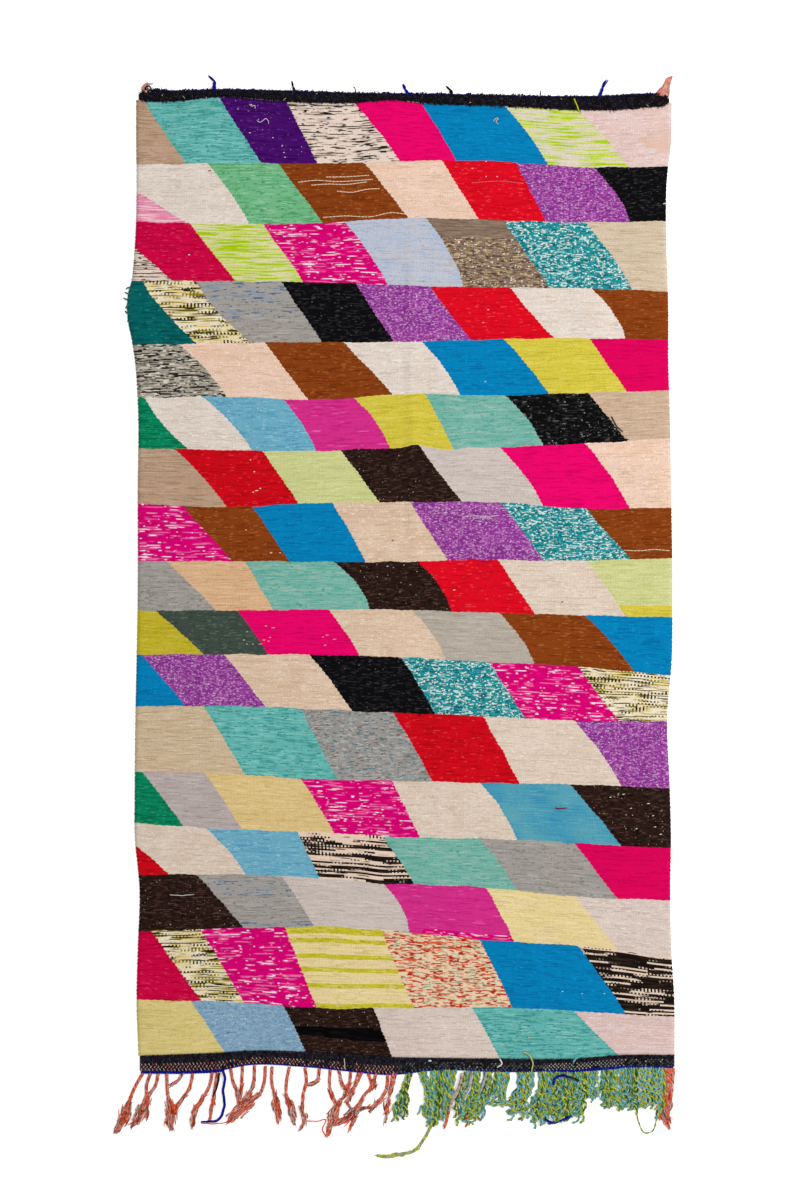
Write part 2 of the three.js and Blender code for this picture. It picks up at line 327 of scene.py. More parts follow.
# Coral warp ends: the width of the frayed part, and the route from the edge cord to the tip
CORAL_STRANDS = [
    (26, [(-703, -6), (-724, -43), (-742, -85), (-755, -127), (-779, -171)]),
    (31, [(-683, -6), (-695, -45), (-695, -66), (-703, -95), (-718, -127), (-737, -156)]),
    (16, [(-662, -6), (-671, -43), (-689, -69), (-692, -100), (-695, -129)]),
    (30, [(-640, -6), (-637, -64), (-629, -100), (-631, -137), (-626, -163)]),
    (8, [(-595, -6), (-611, -29), (-631, -40)]),
    (12, [(-569, -6), (-579, -48), (-595, -74), (-611, -95), (-616, -121)]),
    (16, [(-516, -4), (-527, -48), (-553, -90), (-563, -108), (-571, -153)]),
    (12, [(-503, -4), (-513, -69), (-519, -106), (-526, -140)]),
    (10, [(-468, 6), (-461, -32), (-448, -69), (-445, -100)]),
    (9, [(-435, 10), (-438, -37), (-445, -90)]),
    (12, [(-403, 12), (-408, -43), (-424, -69), (-440, -95)]),
    (36, [(-374, 10), (-377, -32), (-387, -61), (-416, -85), (-445, -111), (-477, -142)]),
    (19, [(-356, 9), (-356, -37), (-348, -69), (-344, -100), (-339, -145)]),
    (22, [(-309, 8), (-316, -27), (-316, -74), (-307, -100), (-295, -148)]),
    (14, [(-267, 6), (-263, -27), (-272, -69), (-273, -106), (-269, -137), (-284, -163)]),
    (10, [(-228, 3), (-234, -27), (-264, -41)]),
    (10, [(-199, 0), (-200, -43), (-193, -74), (-180, -100)]),
    (9, [(-176, 0), (-167, -32), (-151, -61)]),
    (9, [(-143, -4), (-148, -37), (-158, -61)]),
    (30, [(-114, -6), (-133, -45), (-164, -74), (-183, -106), (-193, -137), (-206, -177)]),
    (9, [(-122, -6), (-143, -69), (-154, -85), (-138, -106)]),
    (22, [(-96, -8), (-88, -45), (-106, -66), (-125, -98), (-154, -129), (-188, -150)]),
    (14, [(-75, -8), (-83, -37), (-93, -53)]),
    (12, [(-106, -66), (-122, -95), (-133, -121), (-146, -158)]),
    (16, [(-43, -10), (-49, -56), (-70, -87), (-93, -114)]),
    (9, [(-49, -56), (-75, -93), (-112, -103), (-138, -108)]),
    (12, [(-30, -8), (-35, -48), (-43, -90), (-51, -143)]),
    (9, [(-22, -6), (-30, -40), (-38, -66)]),
]
CORNER_STRANDS = [
    (14, [(705, 6), (703, -40), (699, -75), (690, -112), (694, -134)]),
    (18, [(713, 6), (711, -45), (706, -80), (700, -112), (717, -160)]),
    (16, [(721, 6), (716, -40), (714, -80), (708, -112), (721, -144)]),
    (12, [(728, 6), (724, -40), (720, -80), (712, -125)]),
]

# Green locks: the stretch of edge they leave, how many yarns, how much they curl, then stations from the edge
# to the tips: place across, place along, width of the lock. Strays leave the locks: radius, loose fibres,
# yarns and route
GREEN_LOCKS = [
    (7, 25, 7, 3, [(2, -58, 14), (-9, -100, 30), (-14, -137, 44)]),
    (36, 59, 5, 2, [(62, -47, 21), (70, -79, 24), (64, -126, 37)]),
    (70, 143, 13, 3, [(101, -53, 63), (88, -95, 68), (80, -142, 58)]),
    (165, 185, 4, 2, [(161, -47, 18), (151, -84, 26), (154, -136, 31)]),
    (190, 206, 5, 4, [(192, -53, 20), (174, -100, 34), (158, -147, 26)]),
    (216, 238, 5, 4, [(218, -53, 24), (192, -100, 34), (177, -145, 28)]),
    (247, 262, 4, 3, [(241, -50, 16), (213, -92, 24), (198, -130, 22)]),
    (256, 266, 2, 1, [(256, -58, 10), (240, -95, 10), (271, -90, 10)]),
    (272, 286, 4, 2, [(275, -47, 14), (264, -84, 18), (284, -100, 31)]),
    (304, 352, 9, 6, [(327, -47, 46), (307, -89, 56), (311, -129, 42)]),
    (362, 410, 9, 7, [(384, -47, 47), (368, -100, 58), (368, -150, 37)]),
    (410, 468, 10, 7, [(436, -42, 58), (421, -89, 63), (415, -142, 47)]),
    (457, 494, 6, 6, [(473, -47, 37), (470, -95, 37), (465, -136, 31)]),
    (494, 525, 6, 5, [(504, -37, 31), (510, -84, 26)]),
    (533, 583, 9, 6, [(551, -42, 47), (559, -108, 47)]),
    (583, 646, 11, 6, [(609, -42, 60), (612, -113, 58)]),
    (646, 703, 10, 6, [(667, -42, 55), (667, -102, 52)]),
    (695, 703, 3, 1, [(695, -84, 7), (683, -136, 10)]),
]
GREEN_STRAYS = [
    (4.4, 22, ["lime_warp", "lilac_grey_warp", "lime_warp"], [
        (78, -140), (57, -181), (27, -217), (-10, -226), (-38, -233), (-73, -230)]),
    (2.2, 0, ["lime_warp", "moss_warp"], [(628, -112), (634, -142), (652, -170), (668, -166), (684, -126)]),
]

# Yarn ends at the plain end: root, a point on the way, tip, width and yarn
TOP_ENDS = [
    (-694, (-706, 2650), (-690, 2665), 11, "faded_coral_warp"),
    (-684, (-699, 2656), (-676, 2664), 10, "rose_grey_warp"),
    (-513, (-512, 2668), (-527, 2686), 12, "royal_blue_twine"),
    (-294, (-299, 2654), (-305, 2670), 8, "black_twine"),
    (-133, (-131, 2644), (-138, 2655), 4, "black_twine"),
    (12, (4, 2647), (-5, 2661), 10, "royal_blue_twine"),
    (131, (125, 2646), (115, 2658), 9, "black_twine"),
    (367, (368, 2636), (366, 2646), 4, "black_twine"),
    (526, (535, 2648), (550, 2674), 11, "royal_blue_twine"),
    (681, (696, 2650), (717, 2673), 11, "faded_coral_warp"),
    (692, (703, 2655), (724, 2684), 20, "faded_coral_warp"),
    (698, (706, 2652), (721, 2676), 16, "faded_coral_warp"),
    (701, (710, 2650), (720, 2672), 8, "coral_warp"),
    (706, (712, 2652), (722, 2679), 9, "rose_grey_warp"),
    (711, (715, 2642), (717, 2662), 8, "faded_coral_warp"),
]

# Loose threads that lie on the weave, the bands and the floor: yarn, radius, and points with their heights
LOOSE_THREADS = [
    ("royal_blue_twine", 3.7, [
        (-488, 0, 9), (-483, -22, 5), (-488, -52, 3), (-485, -97, 3), (-499, -132, 4), (-548, -138, 9)]),
    ("navy_twine", 2.4, [(-497, -6, 10), (-503, -40, 11), (-516, -72, 10)]),
    ("coral_warp", 1.6, [(-548, -143, 2), (-510, -145, 2), (-465, -138, 3)]),
    ("coral_warp", 1.6, [
        (-265, -136, 3), (-236, -138, 2), (-211, -134, 2), (-220, -160, 2), (-208, -181, 2),
        (-199, -152, 3)]),
    ("rose_grey_warp", 4.2, [(157, -6, 9), (150, -39, 12), (132, -75, 13), (121, -110, 12)]),
    ("coral_warp", 3.6, [(121, -108, 12), (116, -130, 9), (108, -158, 5)]),
    ("lilac_grey_warp", 3.4, [(182, -6, 9), (177, -35, 10), (169, -62, 11)]),
    ("lilac_grey_warp", 3.4, [(223, -4, 9), (214, -35, 10), (203, -62, 11)]),
    ("coral_warp", 3.0, [(168, -120, 11), (172, -140, 7), (166, -154, 4)]),
    ("royal_blue_twine", 3.4, [(402, -38, 13), (408, -20, 14), (424, -12, 14), (446, -16, 13)]),
    ("navy_twine", 3.0, [(446, -16, 13), (458, -20, 13), (472, -28, 12)]),
    ("royal_blue_twine", 3.6, [(380, -130, 10), (399, -141, 7), (425, -133, 10), (452, -121, 13)]),
    ("olive_thread", 1.8, [(320, 50, 8), (330, 47, 8.5), (346, 27, 10), (344, -6, 11)]),
    ("white_thread", 1.8, [(258, 32, 9), (264, 20, 10), (251, 8, 10)]),
    ("turquoise_thread", 3.0, [(470, 36, 7), (462, 31, 8), (456, 22, 8)]),
    ("blue_white_thread", 2.4, [(66, 26, 8), (70, 27, 9.5), (74, 26, 8)]),
    ("cream_thread", 1.1, [(-161, 33, 8), (-160, 18, 9), (-161, 4, 8)]),
    ("white_thread", 0.8, [(-417, 2607, 7), (-410, 2601, 7.6), (-403, 2603, 7.6), (-402, 2594, 7)]),
    ("white_thread", 0.8, [
        (-397, 2562, 7), (-388, 2558, 7.6), (-379, 2563, 7.6), (-373, 2568, 7.6), (-366, 2561, 7.6),
        (-366, 2553, 7)]),
    ("pale_cream_thread", 0.8, [
        (241, 2560, 7), (245, 2567, 7.6), (254, 2568, 7.6), (248, 2560, 7.6), (254, 2553, 7)]),
    ("citron_thread", 1.8, [(459, 2621, 9.5), (467, 2600, 9.5), (474, 2585, 8)]),
    ("wine_thread", 1.6, [(408, 708, 7), (425, 706, 7.6), (440, 709, 7)]),
    ("white_thread", 0.8, [(-632, 474, 6.6), (-600, 472, 7), (-566, 475, 6.6)]),
    ("black_thread", 1.6, [(560, 1764, 7), (572, 1740, 7.6), (590, 1722, 7)]),
    ("black_thread", 1.4, [(575, 1712, 7), (592, 1704, 7.6), (606, 1702, 7)]),
    ("black_twine", 2.2, [
        (-698, 2644, 8), (-695, 2653, 9), (-687, 2654, 9.5), (-683, 2647, 9), (-689, 2641, 8)]),
    ("dark_green_thread", 2.4, [(-738, 2084, 5), (-748, 2080, 4), (-757, 2085, 2)]),
    ("dark_green_thread", 2.2, [(-736, 2040, 5), (-746, 2042, 4), (-753, 2050, 2)]),
    ("dark_green_thread", 2.3, [(-735, 2108, 5), (-744, 2112, 4), (-751, 2108, 2)]),
    ("dark_green_thread", 2.1, [(-738, 2066, 5), (-747, 2062, 4), (-752, 2056, 2)]),
    ("dark_green_thread", 2.2, [(-733, 2024, 5), (-741, 2019, 4), (-747, 2023, 2)]),
    ("dark_green_thread", 2.1, [(-735, 2094, 5), (-746, 2096, 4), (-754, 2101, 2)]),
]

# Thin odd wefts in the weave: yarn, then points along the row
ODD_LINES = [
    ("pale_cream_thread", [(-210, 2410), (-150, 2411), (-95, 2415)]),
    ("pale_cream_thread", [(-286, 2396), (-240, 2401), (-180, 2398), (-120, 2401), (-84, 2404)]),
    ("pale_cream_thread", [(-250, 2388), (-205, 2391), (-160, 2390), (-100, 2397)]),
    ("pale_cream_thread", [(-181, 2372), (-140, 2369), (-100, 2377), (-66, 2379)]),
    ("pale_cream_thread", [(-218, 2301), (-160, 2305), (-90, 2303), (-30, 2314), (4, 2310)]),
    ("rose_red_thread", [(182, 2394), (230, 2398), (260, 2399), (321, 2392)]),
    ("pale_cream_thread", [(594, 1403), (640, 1402), (670, 1405), (716, 1402)]),
    ("lilac_thread", [(160, 1493), (190, 1496), (222, 1494), (255, 1497)]),
    ("lilac_thread", [(186, 1489), (205, 1491), (236, 1489)]),
]

# Slubs by yarn: place across, place along, length
SLUBS = {
    "white_thread": [
        (-404, 1615, 5), (-398, 1564, 9), (-414, 1647, 3), (-395, 1786, 4), (-45, 1360, 4), (-416, 2529, 5),
        (-354, 2516, 4), (-329, 2494, 4), (-324, 2476, 4), (-412, 2605, 4), (227, 2052, 5), (702, 2338, 8),
        (-580, 2200, 6), (-359, 1396, 7), (-335, 1396, 5), (135, 1296, 7),
        (-429, 140, 7), (-486, 149, 5), (-483, 95, 6), (-289, 92, 5),
        (184, 2433, 4), (221, 2411, 4), (251, 2411, 4), (221, 2452, 4), (659, 720, 8), (592, 745, 7),
        (557, 737, 5), (677, 657, 7), (672, 687, 5), (627, 652, 5), (692, 637, 7), (612, 707, 5),
        (-388, 1570, 5), (-407, 1560, 5),
    ],
    "blue_white_thread": [
        (219, 1858, 6), (43, 2130, 6), (57, 2130, 8), (427, 213, 5), (480, 207, 5), (540, 207, 6),
    ],
    "rosy_thread": [
        (213, 2017, 6), (-366, 1158, 6), (-558, 2120, 5), (-353, 1194, 10), (-373, 1199, 6), (-378, 1161, 8),
        (-388, 1150, 11), (-362, 1168, 6), (-208, 1174, 9), (-219, 1169, 5), (-188, 1163, 10),
        (-213, 1147, 7),
    ],
    "cream_thread": [(-427, 1458, 5), (-424, 1183, 6), (-432, 1161, 6), (-424, 1150, 5), (-408, 1150, 5)],
    "black_thread": [(427, 1264, 5), (43, 959, 8), (-30, 1430, 4)],
    "wine_thread": [(-524, 2427, 8)],
    "dark_green_thread": [(-473, 103, 6)],
}

# The weaver's chart, from the plain end down. Each course has its foot line, as heights at seven even
# places across, and its blocks from the left: the yarn, the warps where its right joint starts and ends, and
# how many warps the joint swells to the right where that isn't the usual bow
COURSES = [
    ((2444, 2448, 2446, 2454, 2452, 2438, 2438),
     "tan 2 14 0, turquoise 23 35 0, grape 42 51 0, dashed_cream 61 74, hot_pink 80 90 0, blue 103 116 0.7, "
     "lime_streak 124 139 0, pale_pink"),
    ((2290, 2283, 2286, 2298, 2295, 2288, 2290),
     "light_pink -12 14 0, off_white 20 32 0.7, mint 40 53 0, brown 64 77 0.3, peach 86 97 0, "
     "red 107 116 0.3, purple_tweed 129 140 1.6, black"),
    ((2130, 2130, 2126, 2118, 2113, 2109, 2103),
     "dashed_cream -9 11, crimson 15 29 0, bright_lime_streak 36 48 0, pink_fleck 59 72 0.3, "
     "lavender 82 93 1.4, taupe 104 117 0, teal_tweed 127 140 1.1, beige"),
    ((1958, 1962, 1964, 1966, 1971, 1976, 1971),
     "bottle_green 3 18 0, olive_streak 18 33 -0.3, grey 42 53 0.9, black 63 73 0.7, purple_tweed 84 95 0, "
     "red 106 118 0, off_white 129 138 1.5, brown"),
    ((1814, 1817, 1810, 1824, 1821, 1828, 1833),
     "black_marl 13 25 0.8, peach 37 48 -0.3, brown 59 72, off_white 81 91 0.8, blue 104 116 0.6, "
     "citron 128 138 0, deep_pink"),
    ((1677, 1674, 1671, 1679, 1681, 1690, 1706),
     "green 2 14 -1.4, off_white 18 32 1.2, light_blue 41 50 0.9, magenta 61 71 1, citron 81 89 0, "
     "aqua 104 114 1, worn_black 127 138 0, sand"),
    ((1529, 1520, 1530, 1534, 1532, 1516, 1519),
     "tan 10 25 1, deep_red 35 45, pale_lime 57 68 0, espresso 79 91, light_grey 102 114 0.8, "
     "hot_pink 126 138.5 0.7, peach"),
    ((1374, 1373, 1373, 1372, 1377, 1376, 1381),
     "pink_fleck 12.5 26.5 0.2, brown 32 42.5 0, blue 54.5 64, warm_cream 76.5 87 0, purple_tweed 102 114, "
     "teal_tweed 126 138.5 0, brown"),
    ((1239, 1241, 1243, 1242, 1235, 1227, 1223),
     "grey 8 22 0.2, apricot 30 38 0, aqua 55 65 1.8, espresso 78.5 88 1.4, red 101 111.5 0, "
     "cream 126 137 0, pale_lime"),
    ((1122, 1123, 1120, 1115, 1100, 1088, 1066),
     "deep_citron 5 19 0, slate_green 28 37 0, hot_pink 53.5 62.5, warm_cream 77 86.7 1, "
     "green_grey 101.5 111.5 1.2, brown 125.5 140, blue"),
    ((983, 983, 975, 964, 954, 944, 941),
     "blue 1 14 0.3, purple_tweed 24.5 36.5 0, warm_cream 48.5 61 0.3, black 74 84.7, teal_tweed 99 110 0, "
     "pink_fleck 124 136.5 0, olive_streak"),
    ((805, 801, 786, 780, 776, 770, 761),
     "beige_cream 19 31 0, turquoise 46.7 57 0, dashed_grey 72.5 83.4 0.6, deep_red 98 108, "
     "cream 124 136.4 1, purple_tweed"),
    ((667, 652, 642, 630, 624, 612, 600),
     "green 2 13.5, mauve_grey 19.5 30, honey 46.5 55.7, pink_fleck 72.3 79.7 0, cream 97 107 1, "
     "mottled_blue 122 136, espresso"),
    ((529, 528, 519, 503, 491, 468, 458),
     "deep_red -8 8.6 1, cream 20 30 1.2, light_blue 45.5 51 0, zebra 69.5 77.5, aqua 96.5 106.8, "
     "grey 123 135 0, deep_pink"),
    ((375, 382, 387, 373, 351, 334, 302),
     "espresso 16.4 29.5 0, grey 40.2 49.3, light_grey 69 76.4 1.4, magenta 98 105.8, pale_yellow 123 135, "
     "pink_white"),
    ((189, 186, 168, 169, 170, 158, 145),
     "crimson 3.4 18 0, olive_streak 17.4 30 0, pink_fleck 41.2 50 0, pale_yellow 68.4 77.4 0, "
     "coral_fleck 96.2 104.8, blue 124 136.6, dark_zebra"),
    (None,
     "straw 15 24, sky 41 46.6, espresso 66 71 0, pink_white 93.4 101, turquoise 122 134.4, pale_pink"),
]

# Bumps in the foot lines: course, place in warps, half width in warps, rise
COURSE_BUMPS = [
    (6, 78.3, 2.6, 8), (6, 88, 3.5, -4), (8, 94, 1.3, 5), (9, 43.5, 1.2, 4), (14, 69, 4, -3),
    (15, 28.5, 3, 3), (15, 50, 6, 3), (16, 55, 4, -2),
]

# Odd wefts inside a block: course, block, yarn, rows counted from the course's foot, and the warps they span
WHOLE_BLOCK = (0, WARPS)
ODD_WEFTS = [
    (1, 7, "stained_pink", (7, 8, 9, 18, 19), (146, WARPS)),
    (1, 7, "stained_pink", (10, 11, 12, 16, 17), (143, WARPS)),
    (1, 7, "stained_pink", (13, 14, 15), (141, WARPS)),
    (3, 5, "plain_taupe", range(25, 34), WHOLE_BLOCK),
    (4, 2, "blue_speck_grey", (12, 14, 15, 17, *range(19, 34)), WHOLE_BLOCK),
    (9, 6, "citron", range(0, 5), WHOLE_BLOCK),
    (14, 3, "dark_zebra", (1, 4, 6, 7, 9, 13, 14, 18, 19), WHOLE_BLOCK),
    (14, 3, "dark_zebra", (2, 20), (45, 58)),
    (14, 3, "dark_zebra", (16, 21), (45, 56)),
    (14, 3, "dark_zebra", (22,), (45, 53)),
    (14, 3, "dark_zebra", (16,), (64, 67)),
    (14, 3, "dark_zebra", (22,), (62, 73)),
    (14, 3, "dark_zebra", (0, 12), (64, 78)),
    (14, 3, "dark_zebra", (2, 11), (69, 78)),
    (15, 1, "blue_speck_grey", (0, 1, 2, 17, 18, 19, 20, 22, 23, 24), WHOLE_BLOCK),
    (15, 3, "pink_fleck", (0, 1, 2), (80, 107)),
    (16, 3, "chartreuse", (0, 1, 9, 10, 16, 17, 22, 23, 29, 30, 33, 34, 35), WHOLE_BLOCK),
    (16, 6, "zebra", (1, 35), WHOLE_BLOCK),
    (16, 6, "zebra", (3, 23, 31), (143, WARPS)),
    (16, 6, "zebra", (6,), (146, WARPS)),
    (16, 6, "zebra", (8,), (131, 147)),
    (16, 6, "zebra", (11, 24, 26), (133, 143)),
    (16, 6, "zebra", (13,), (138, 147)),
    (16, 6, "zebra", (17,), (131, 138)),
    (16, 6, "zebra", (20,), (131, 141)),
    (16, 6, "zebra", (28, 32), (125, 132)),
    (16, 6, "zebra", (28,), (145, WARPS)),
    (17, 2, "jet", (10, 11, 12, 13), WHOLE_BLOCK),
    (17, 2, "jet", (14,), (40, 66)),
    (17, 2, "jet", (9,), (52, 75)),
    (17, 2, "jet", (8,), (59, 75)),
]

# Flecks in a yarn: their length, how many rows they hold together, how soft their ends are, and whether they
# show as dots over every second warp or as whole lines
FLECKS = {
    "speck": (9, 0.5, 0.05, False),
    "dash": (22, 0.5, 0.04, False),
    "clump": (36, 0.9, 0.04, False),
    "line": (64, 0.5, 0.04, False),
    "thread": (140, 0.7, 0.03, False),
    "dots": (110, 0.5, 0.03, True),
    "streak": (110, 1.1, 0.05, False),
    "patch": (90, 14.0, 0.25, False),
}

# Yarns as they look in the light: the main colour, then flecks as kind, colour and share in hundredths
YARNS = {
    "tan": "BA9A80 line C4A88E 14 line A6876B 16",
    "sand": "CAAE93 line D4BCA4 14 line BC9E82 14",
    "beige": "D0BDA3 line C2AC90 16 line D9C8B0 12",
    "beige_cream": "CDB696 line BFA583 20 line D8C4A8 12",
    "peach": "EBCBB7 patch E6C2A5 14 line DCB89E 14 dash F0D6C6 8",
    "apricot": "DBB289 line CFA277 16 line E2BF9B 10",
    "cream": "E0CEBD patch D9C4B0 18 line D0BCA8 14 dash E8DACC 8",
    "warm_cream": "DFC4AC patch D7B99C 18 line CFB196 14 dash E8D3C0 8",
    "off_white": "E3D6CB patch DCCDBF 16 line D4C4B6 14 dash EBE2DA 8",
    "pink_white": "DBCBC0 patch D8C4BC 16 line CCB8AC 14 dash E5D8D0 8",
    "pale_pink": "E0C6C1 patch DFBCB0 12 line D2B4AE 16 dash E8D3CF 8",
    "stained_pink": "DCBFB4 patch DDB49C 45 line D2B4AE 16",
    "light_pink": "E58DA8 streak F5C4D2 36 line DA7496 12",
    "hot_pink": "EB0469 line D8005E 18",
    "deep_pink": "DE0359 line CE0052 18",
    "pink_fleck": "DA0074 line C00466 16 line EC6CA8 10 line FFE0EE 4 dash FFF0F6 2",
    "magenta": "D52F89 line C8227C 18 line DF5CA6 3",
    "crimson": "CE0543 line B80036 20 dash DC2E5E 4",
    "red": "DE0A20 line CA051B 22 dash EA3A42 4",
    "deep_red": "CE0819 line B40512 22 dash E0303A 4",
    "grape": "460C68 line 370554 20 dash 5E2A80 5 speck C8BAD4 0.4",
    "purple_tweed": "993C98 patch 88308E 34 speck B878B4 28 dash 7A2A82 14 speck D2AACE 5",
    "lavender": "BAC0CF patch C4C2C6 26 line A4B0C6 10 dash A9B9D2 12",
    "blue": "0380B8 line 0470A6 20 dash 0C8CC4 5",
    "mottled_blue": "4899B4 streak 3A8DB4 26 patch 5EA6B2 18 line 62A8B8 8",
    "light_blue": "6EADC4 line 5A9CBA 20 dash 8CBED0 8",
    "sky": "86A8C0 speck 6C92B0 22 dash 96B6CA 16 speck D8E4EA 0.8",
    "turquoise": "66B6B0 line 84C6BE 16 line 489C96 20 dash 3E908C 8 speck C8B080 0.4",
    "aqua": "7AB4A6 line 98BCAC 16 line 62AA9B 20 dash 56A090 5",
    "teal_tweed": "1E9096 dash B4D2CC 19 dash 0A6470 22 speck E8EEE6 10",
    "mint": "74B887 line 92C69E 12 line 58A670 18 dash 4C9866 8",
    "green": "06865C line 046C48 22 dash 2A9A74 8",
    "bottle_green": "046262 line 034E4F 22 dash 1A7A76 6",
    "slate_green": "414E44 dash 35423A 20 dash 5A6A5C 8",
    "lime_streak": "DBD0BC streak A8CA00 34 streak CFD66E 20",
    "bright_lime_streak": "DED6A8 streak A8CA00 44 streak CFD66E 20",
    "pale_lime": "CCCE8D line C0C57C 16 line D5D79C 10",
    "citron": "D3C445 line C5B536 18 line DACD60 8",
    "deep_citron": "C4B32C line B4A31E 18 line CCBE48 8",
    "chartreuse": "C8C030 line D8CC6A 22 dash BCA81C 14",
    "pale_yellow": "E7D496 patch E8CFA0 24 line DAC484 14 line EDDCA8 10",
    "honey": "DEC285 line D2B475 16 line E6CE98 10",
    "straw": "DCC982 line CEB970 16 line E2D194 10",
    "olive_streak": (
        "F0E4CC patch E8D298 16 line D8BC5C 9 thread 94861A 11 dots 86780E 8 thread 1E1C0C 6 "
        "line 24220E 7 dots 24220E 9"),
    "dashed_cream": "E8D4C6 thread 161214 10 line A8907C 9 line 1A1618 9 dash 201A1C 6",
    "black_marl": "A79E8F line 242426 26 dash 1E1E20 20 dash DAD3C5 12",
    "zebra": "E8CFBA dots 17110E 7 line 17110E 4 line C4A48E 8",
    "dark_zebra": "17110E dots E8CFBA 8 line 34261E 20",
    "coral_fleck": "EBD2B0 dash 9DAE90 13 clump E06C44 10 dash B82A0E 18 clump B8280C 8 line D85834 8",
    "brown": "873E12 line 74310B 20 dash 9C5A2A 7",
    "taupe": "8A7260 dash BFA67C 20 dash 56423A 22 speck F2ECE2 3",
    "plain_taupe": "86705F line 766051 26 line 94806F 18",
    "espresso": "2B1A15 dash 4A342B 16 dash 180D0A 18 speck C0B4AA 0.5",
    "black": "0B0A0C dash 232124 16 dash 3A373A 3 speck 6E6868 0.4",
    "worn_black": "0C0B0C dash 262628 18 dash 5A5A5E 4 speck A8A8A6 0.8",
    "jet": "050405 line 100E10 16",
    "grey": "A29C96 line 928B85 16 line B0AAA4 12 dash 847E78 5",
    "blue_speck_grey": "A49E98 line 8494A6 12 line 566E8A 7 dash 4E6A8C 5",
    "dashed_grey": "989592 dash 5C7A80 14 dash 7A6250 6 dash B2AFAA 14",
    "green_grey": "B4AA9D line A69B8D 16 line BFB7AB 10",
    "mauve_grey": "BAADA9 line AB9D99 16 line C5BAB6 10",
    "light_grey": "CCBFB7 line BFB0A7 16 line D5CBC4 10",
}

# Other yarns: the bands, the edge cord, the warps that hang out as fringe, and odd threads
BAND_YARNS = {
    "black_twine": "121013 speck 242026 30",
    "charcoal_twine": "26232A speck 3A363C 30",
    "navy_twine": "2A2730 speck 1E1B24 30 speck 3C3844 16",
    "royal_blue_twine": "10158A speck 0B0F6C 30 speck 1E28A4 16",
    "indigo_twine": "1A1A66 speck 121250 30",
    "ash_twine": "5E645A speck 484E46 30",
}
CORAL_YARNS = {
    "coral_warp": "E2582F speck CC4622 30 speck EE8A6A 16",
    "rust_warp": "A83C26 speck 8C2E1C 30",
    "faded_coral_warp": "D88A78 speck C27464 30 speck E8A898 16",
    "umber_warp": "8A5C52 speck 704840 30",
    "rose_grey_warp": "BFA59E speck A08078 30 speck D6C2BC 20",
}
GREEN_YARNS = {
    "lime_warp": "B6C23C speck 98A828 30 speck D0D878 16",
    "teal_warp": "68B6B8 speck 4A9CA2 30 speck 9AD0CE 16",
    "moss_warp": "76A062 speck 5C8448 30",
    "sky_warp": "84BCD4 speck 68A4C4 30",
    # Pine's dark green is partly a real dark yarn and partly painted shade, deep among the green locks
    "pine_warp": "44683E speck 34542E 30",
    "lilac_grey_warp": "B0AAA8 speck 948C90 30",
    "mustard_warp": "C4BC2C speck A49E18 30",
}
THREAD_YARNS = {
    "white_thread": "EAE6DF",
    "olive_thread": "C4C288",
    "dark_green_thread": "1C7468",
    "wine_thread": "7A1024",
    "citron_thread": "C8C22A",
    "black_thread": "161416",
    "blue_white_thread": "BFD6E2",
    "rosy_thread": "F0A8B8",
    "rose_red_thread": "E4586A",
    "lilac_thread": "DCC2DC",
    "turquoise_thread": "62B4AC",
    "cream_thread": "D9C8B0",
    "pale_cream_thread": "EBD2B8",
}

# How bright the studio light makes a white cloth: a yarn's own colour is its look divided by this
LIGHT_ON_CLOTH = 1.23


def smooth_line(places, values):
    """A smooth line through the given values, as a function of the place."""
    places = np.array(places, float)
    values = np.array(values, float)
    slopes = np.gradient(values, places)

    def line(at):
        at = np.clip(at, places[0], places[-1])
        k = np.clip(np.searchsorted(places, at) - 1, 0, len(places) - 2)
        gap = places[k + 1] - places[k]
        t = (at - places[k]) / gap
        rise = values[k + 1] - values[k]
        bend = slopes[k] * gap - rise
        other_bend = rise - slopes[k + 1] * gap
        return values[k] + rise * t + t * (1 - t) * (bend * (1 - t) + other_bend * t)

    return line


def table_line(rows, column):
    """The smooth line of one column of a table, by the places in its first column."""
    return smooth_line([row[0] for row in rows], [row[column] for row in rows])


left_edge = table_line(SELVEDGES, 1)
right_edge = table_line(SELVEDGES, 2)
top_low = table_line(TOP_BAND, 1)
top_high = table_line(TOP_BAND, 2)
bottom_low = table_line(BOTTOM_BAND, 1)
bottom_high = table_line(BOTTOM_BAND, 2)

# The frame's place for the rug's own zero, from the left end of the bottom band and the field's upper edge
band_low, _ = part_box("bottom_band")
_, field_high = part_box("woven_field")
TOP_PLACES = np.linspace(TOP_LEFT, TOP_RIGHT, 400)
ZERO_ACROSS = band_low.x - FRINGE_LEFT * MM
ZERO_ALONG = field_high.y - (top_low(TOP_PLACES).max() - PIECE_GAP) * MM


def on_rug(across, along, height):
    """A place on the rug, in millimetres, as a point of the frame, in metres."""
    return Vector((ZERO_ACROSS + across * MM, ZERO_ALONG + along * MM, height * MM))


def linear(hex_colour):
    """An sRGB hex colour, as it looks in the light, as the linear colour of the yarn itself."""
    parts = [int(hex_colour[k:k + 2], 16) / 255 for k in (0, 2, 4)]
    parts = [p / 12.92 if p <= 0.04045 else ((p + 0.055) / 1.055) ** 2.4 for p in parts]
    return [p / LIGHT_ON_CLOTH for p in parts] + [1.0]


def add_node(tree, kind, inputs=None, **settings):
    """Adds a node with its settings, and sets its inputs or links them to sockets or other nodes' results."""
    made = tree.nodes.new(kind)
    for name, value in settings.items():
        setattr(made, name, value)
    for socket, value in (inputs or {}).items():
        if isinstance(value, bpy.types.Node):
            value = next(output for output in value.outputs if output.enabled)
        if isinstance(value, bpy.types.NodeSocket):
            tree.links.new(value, made.inputs[socket])
        else:
            made.inputs[socket].default_value = value
    return made


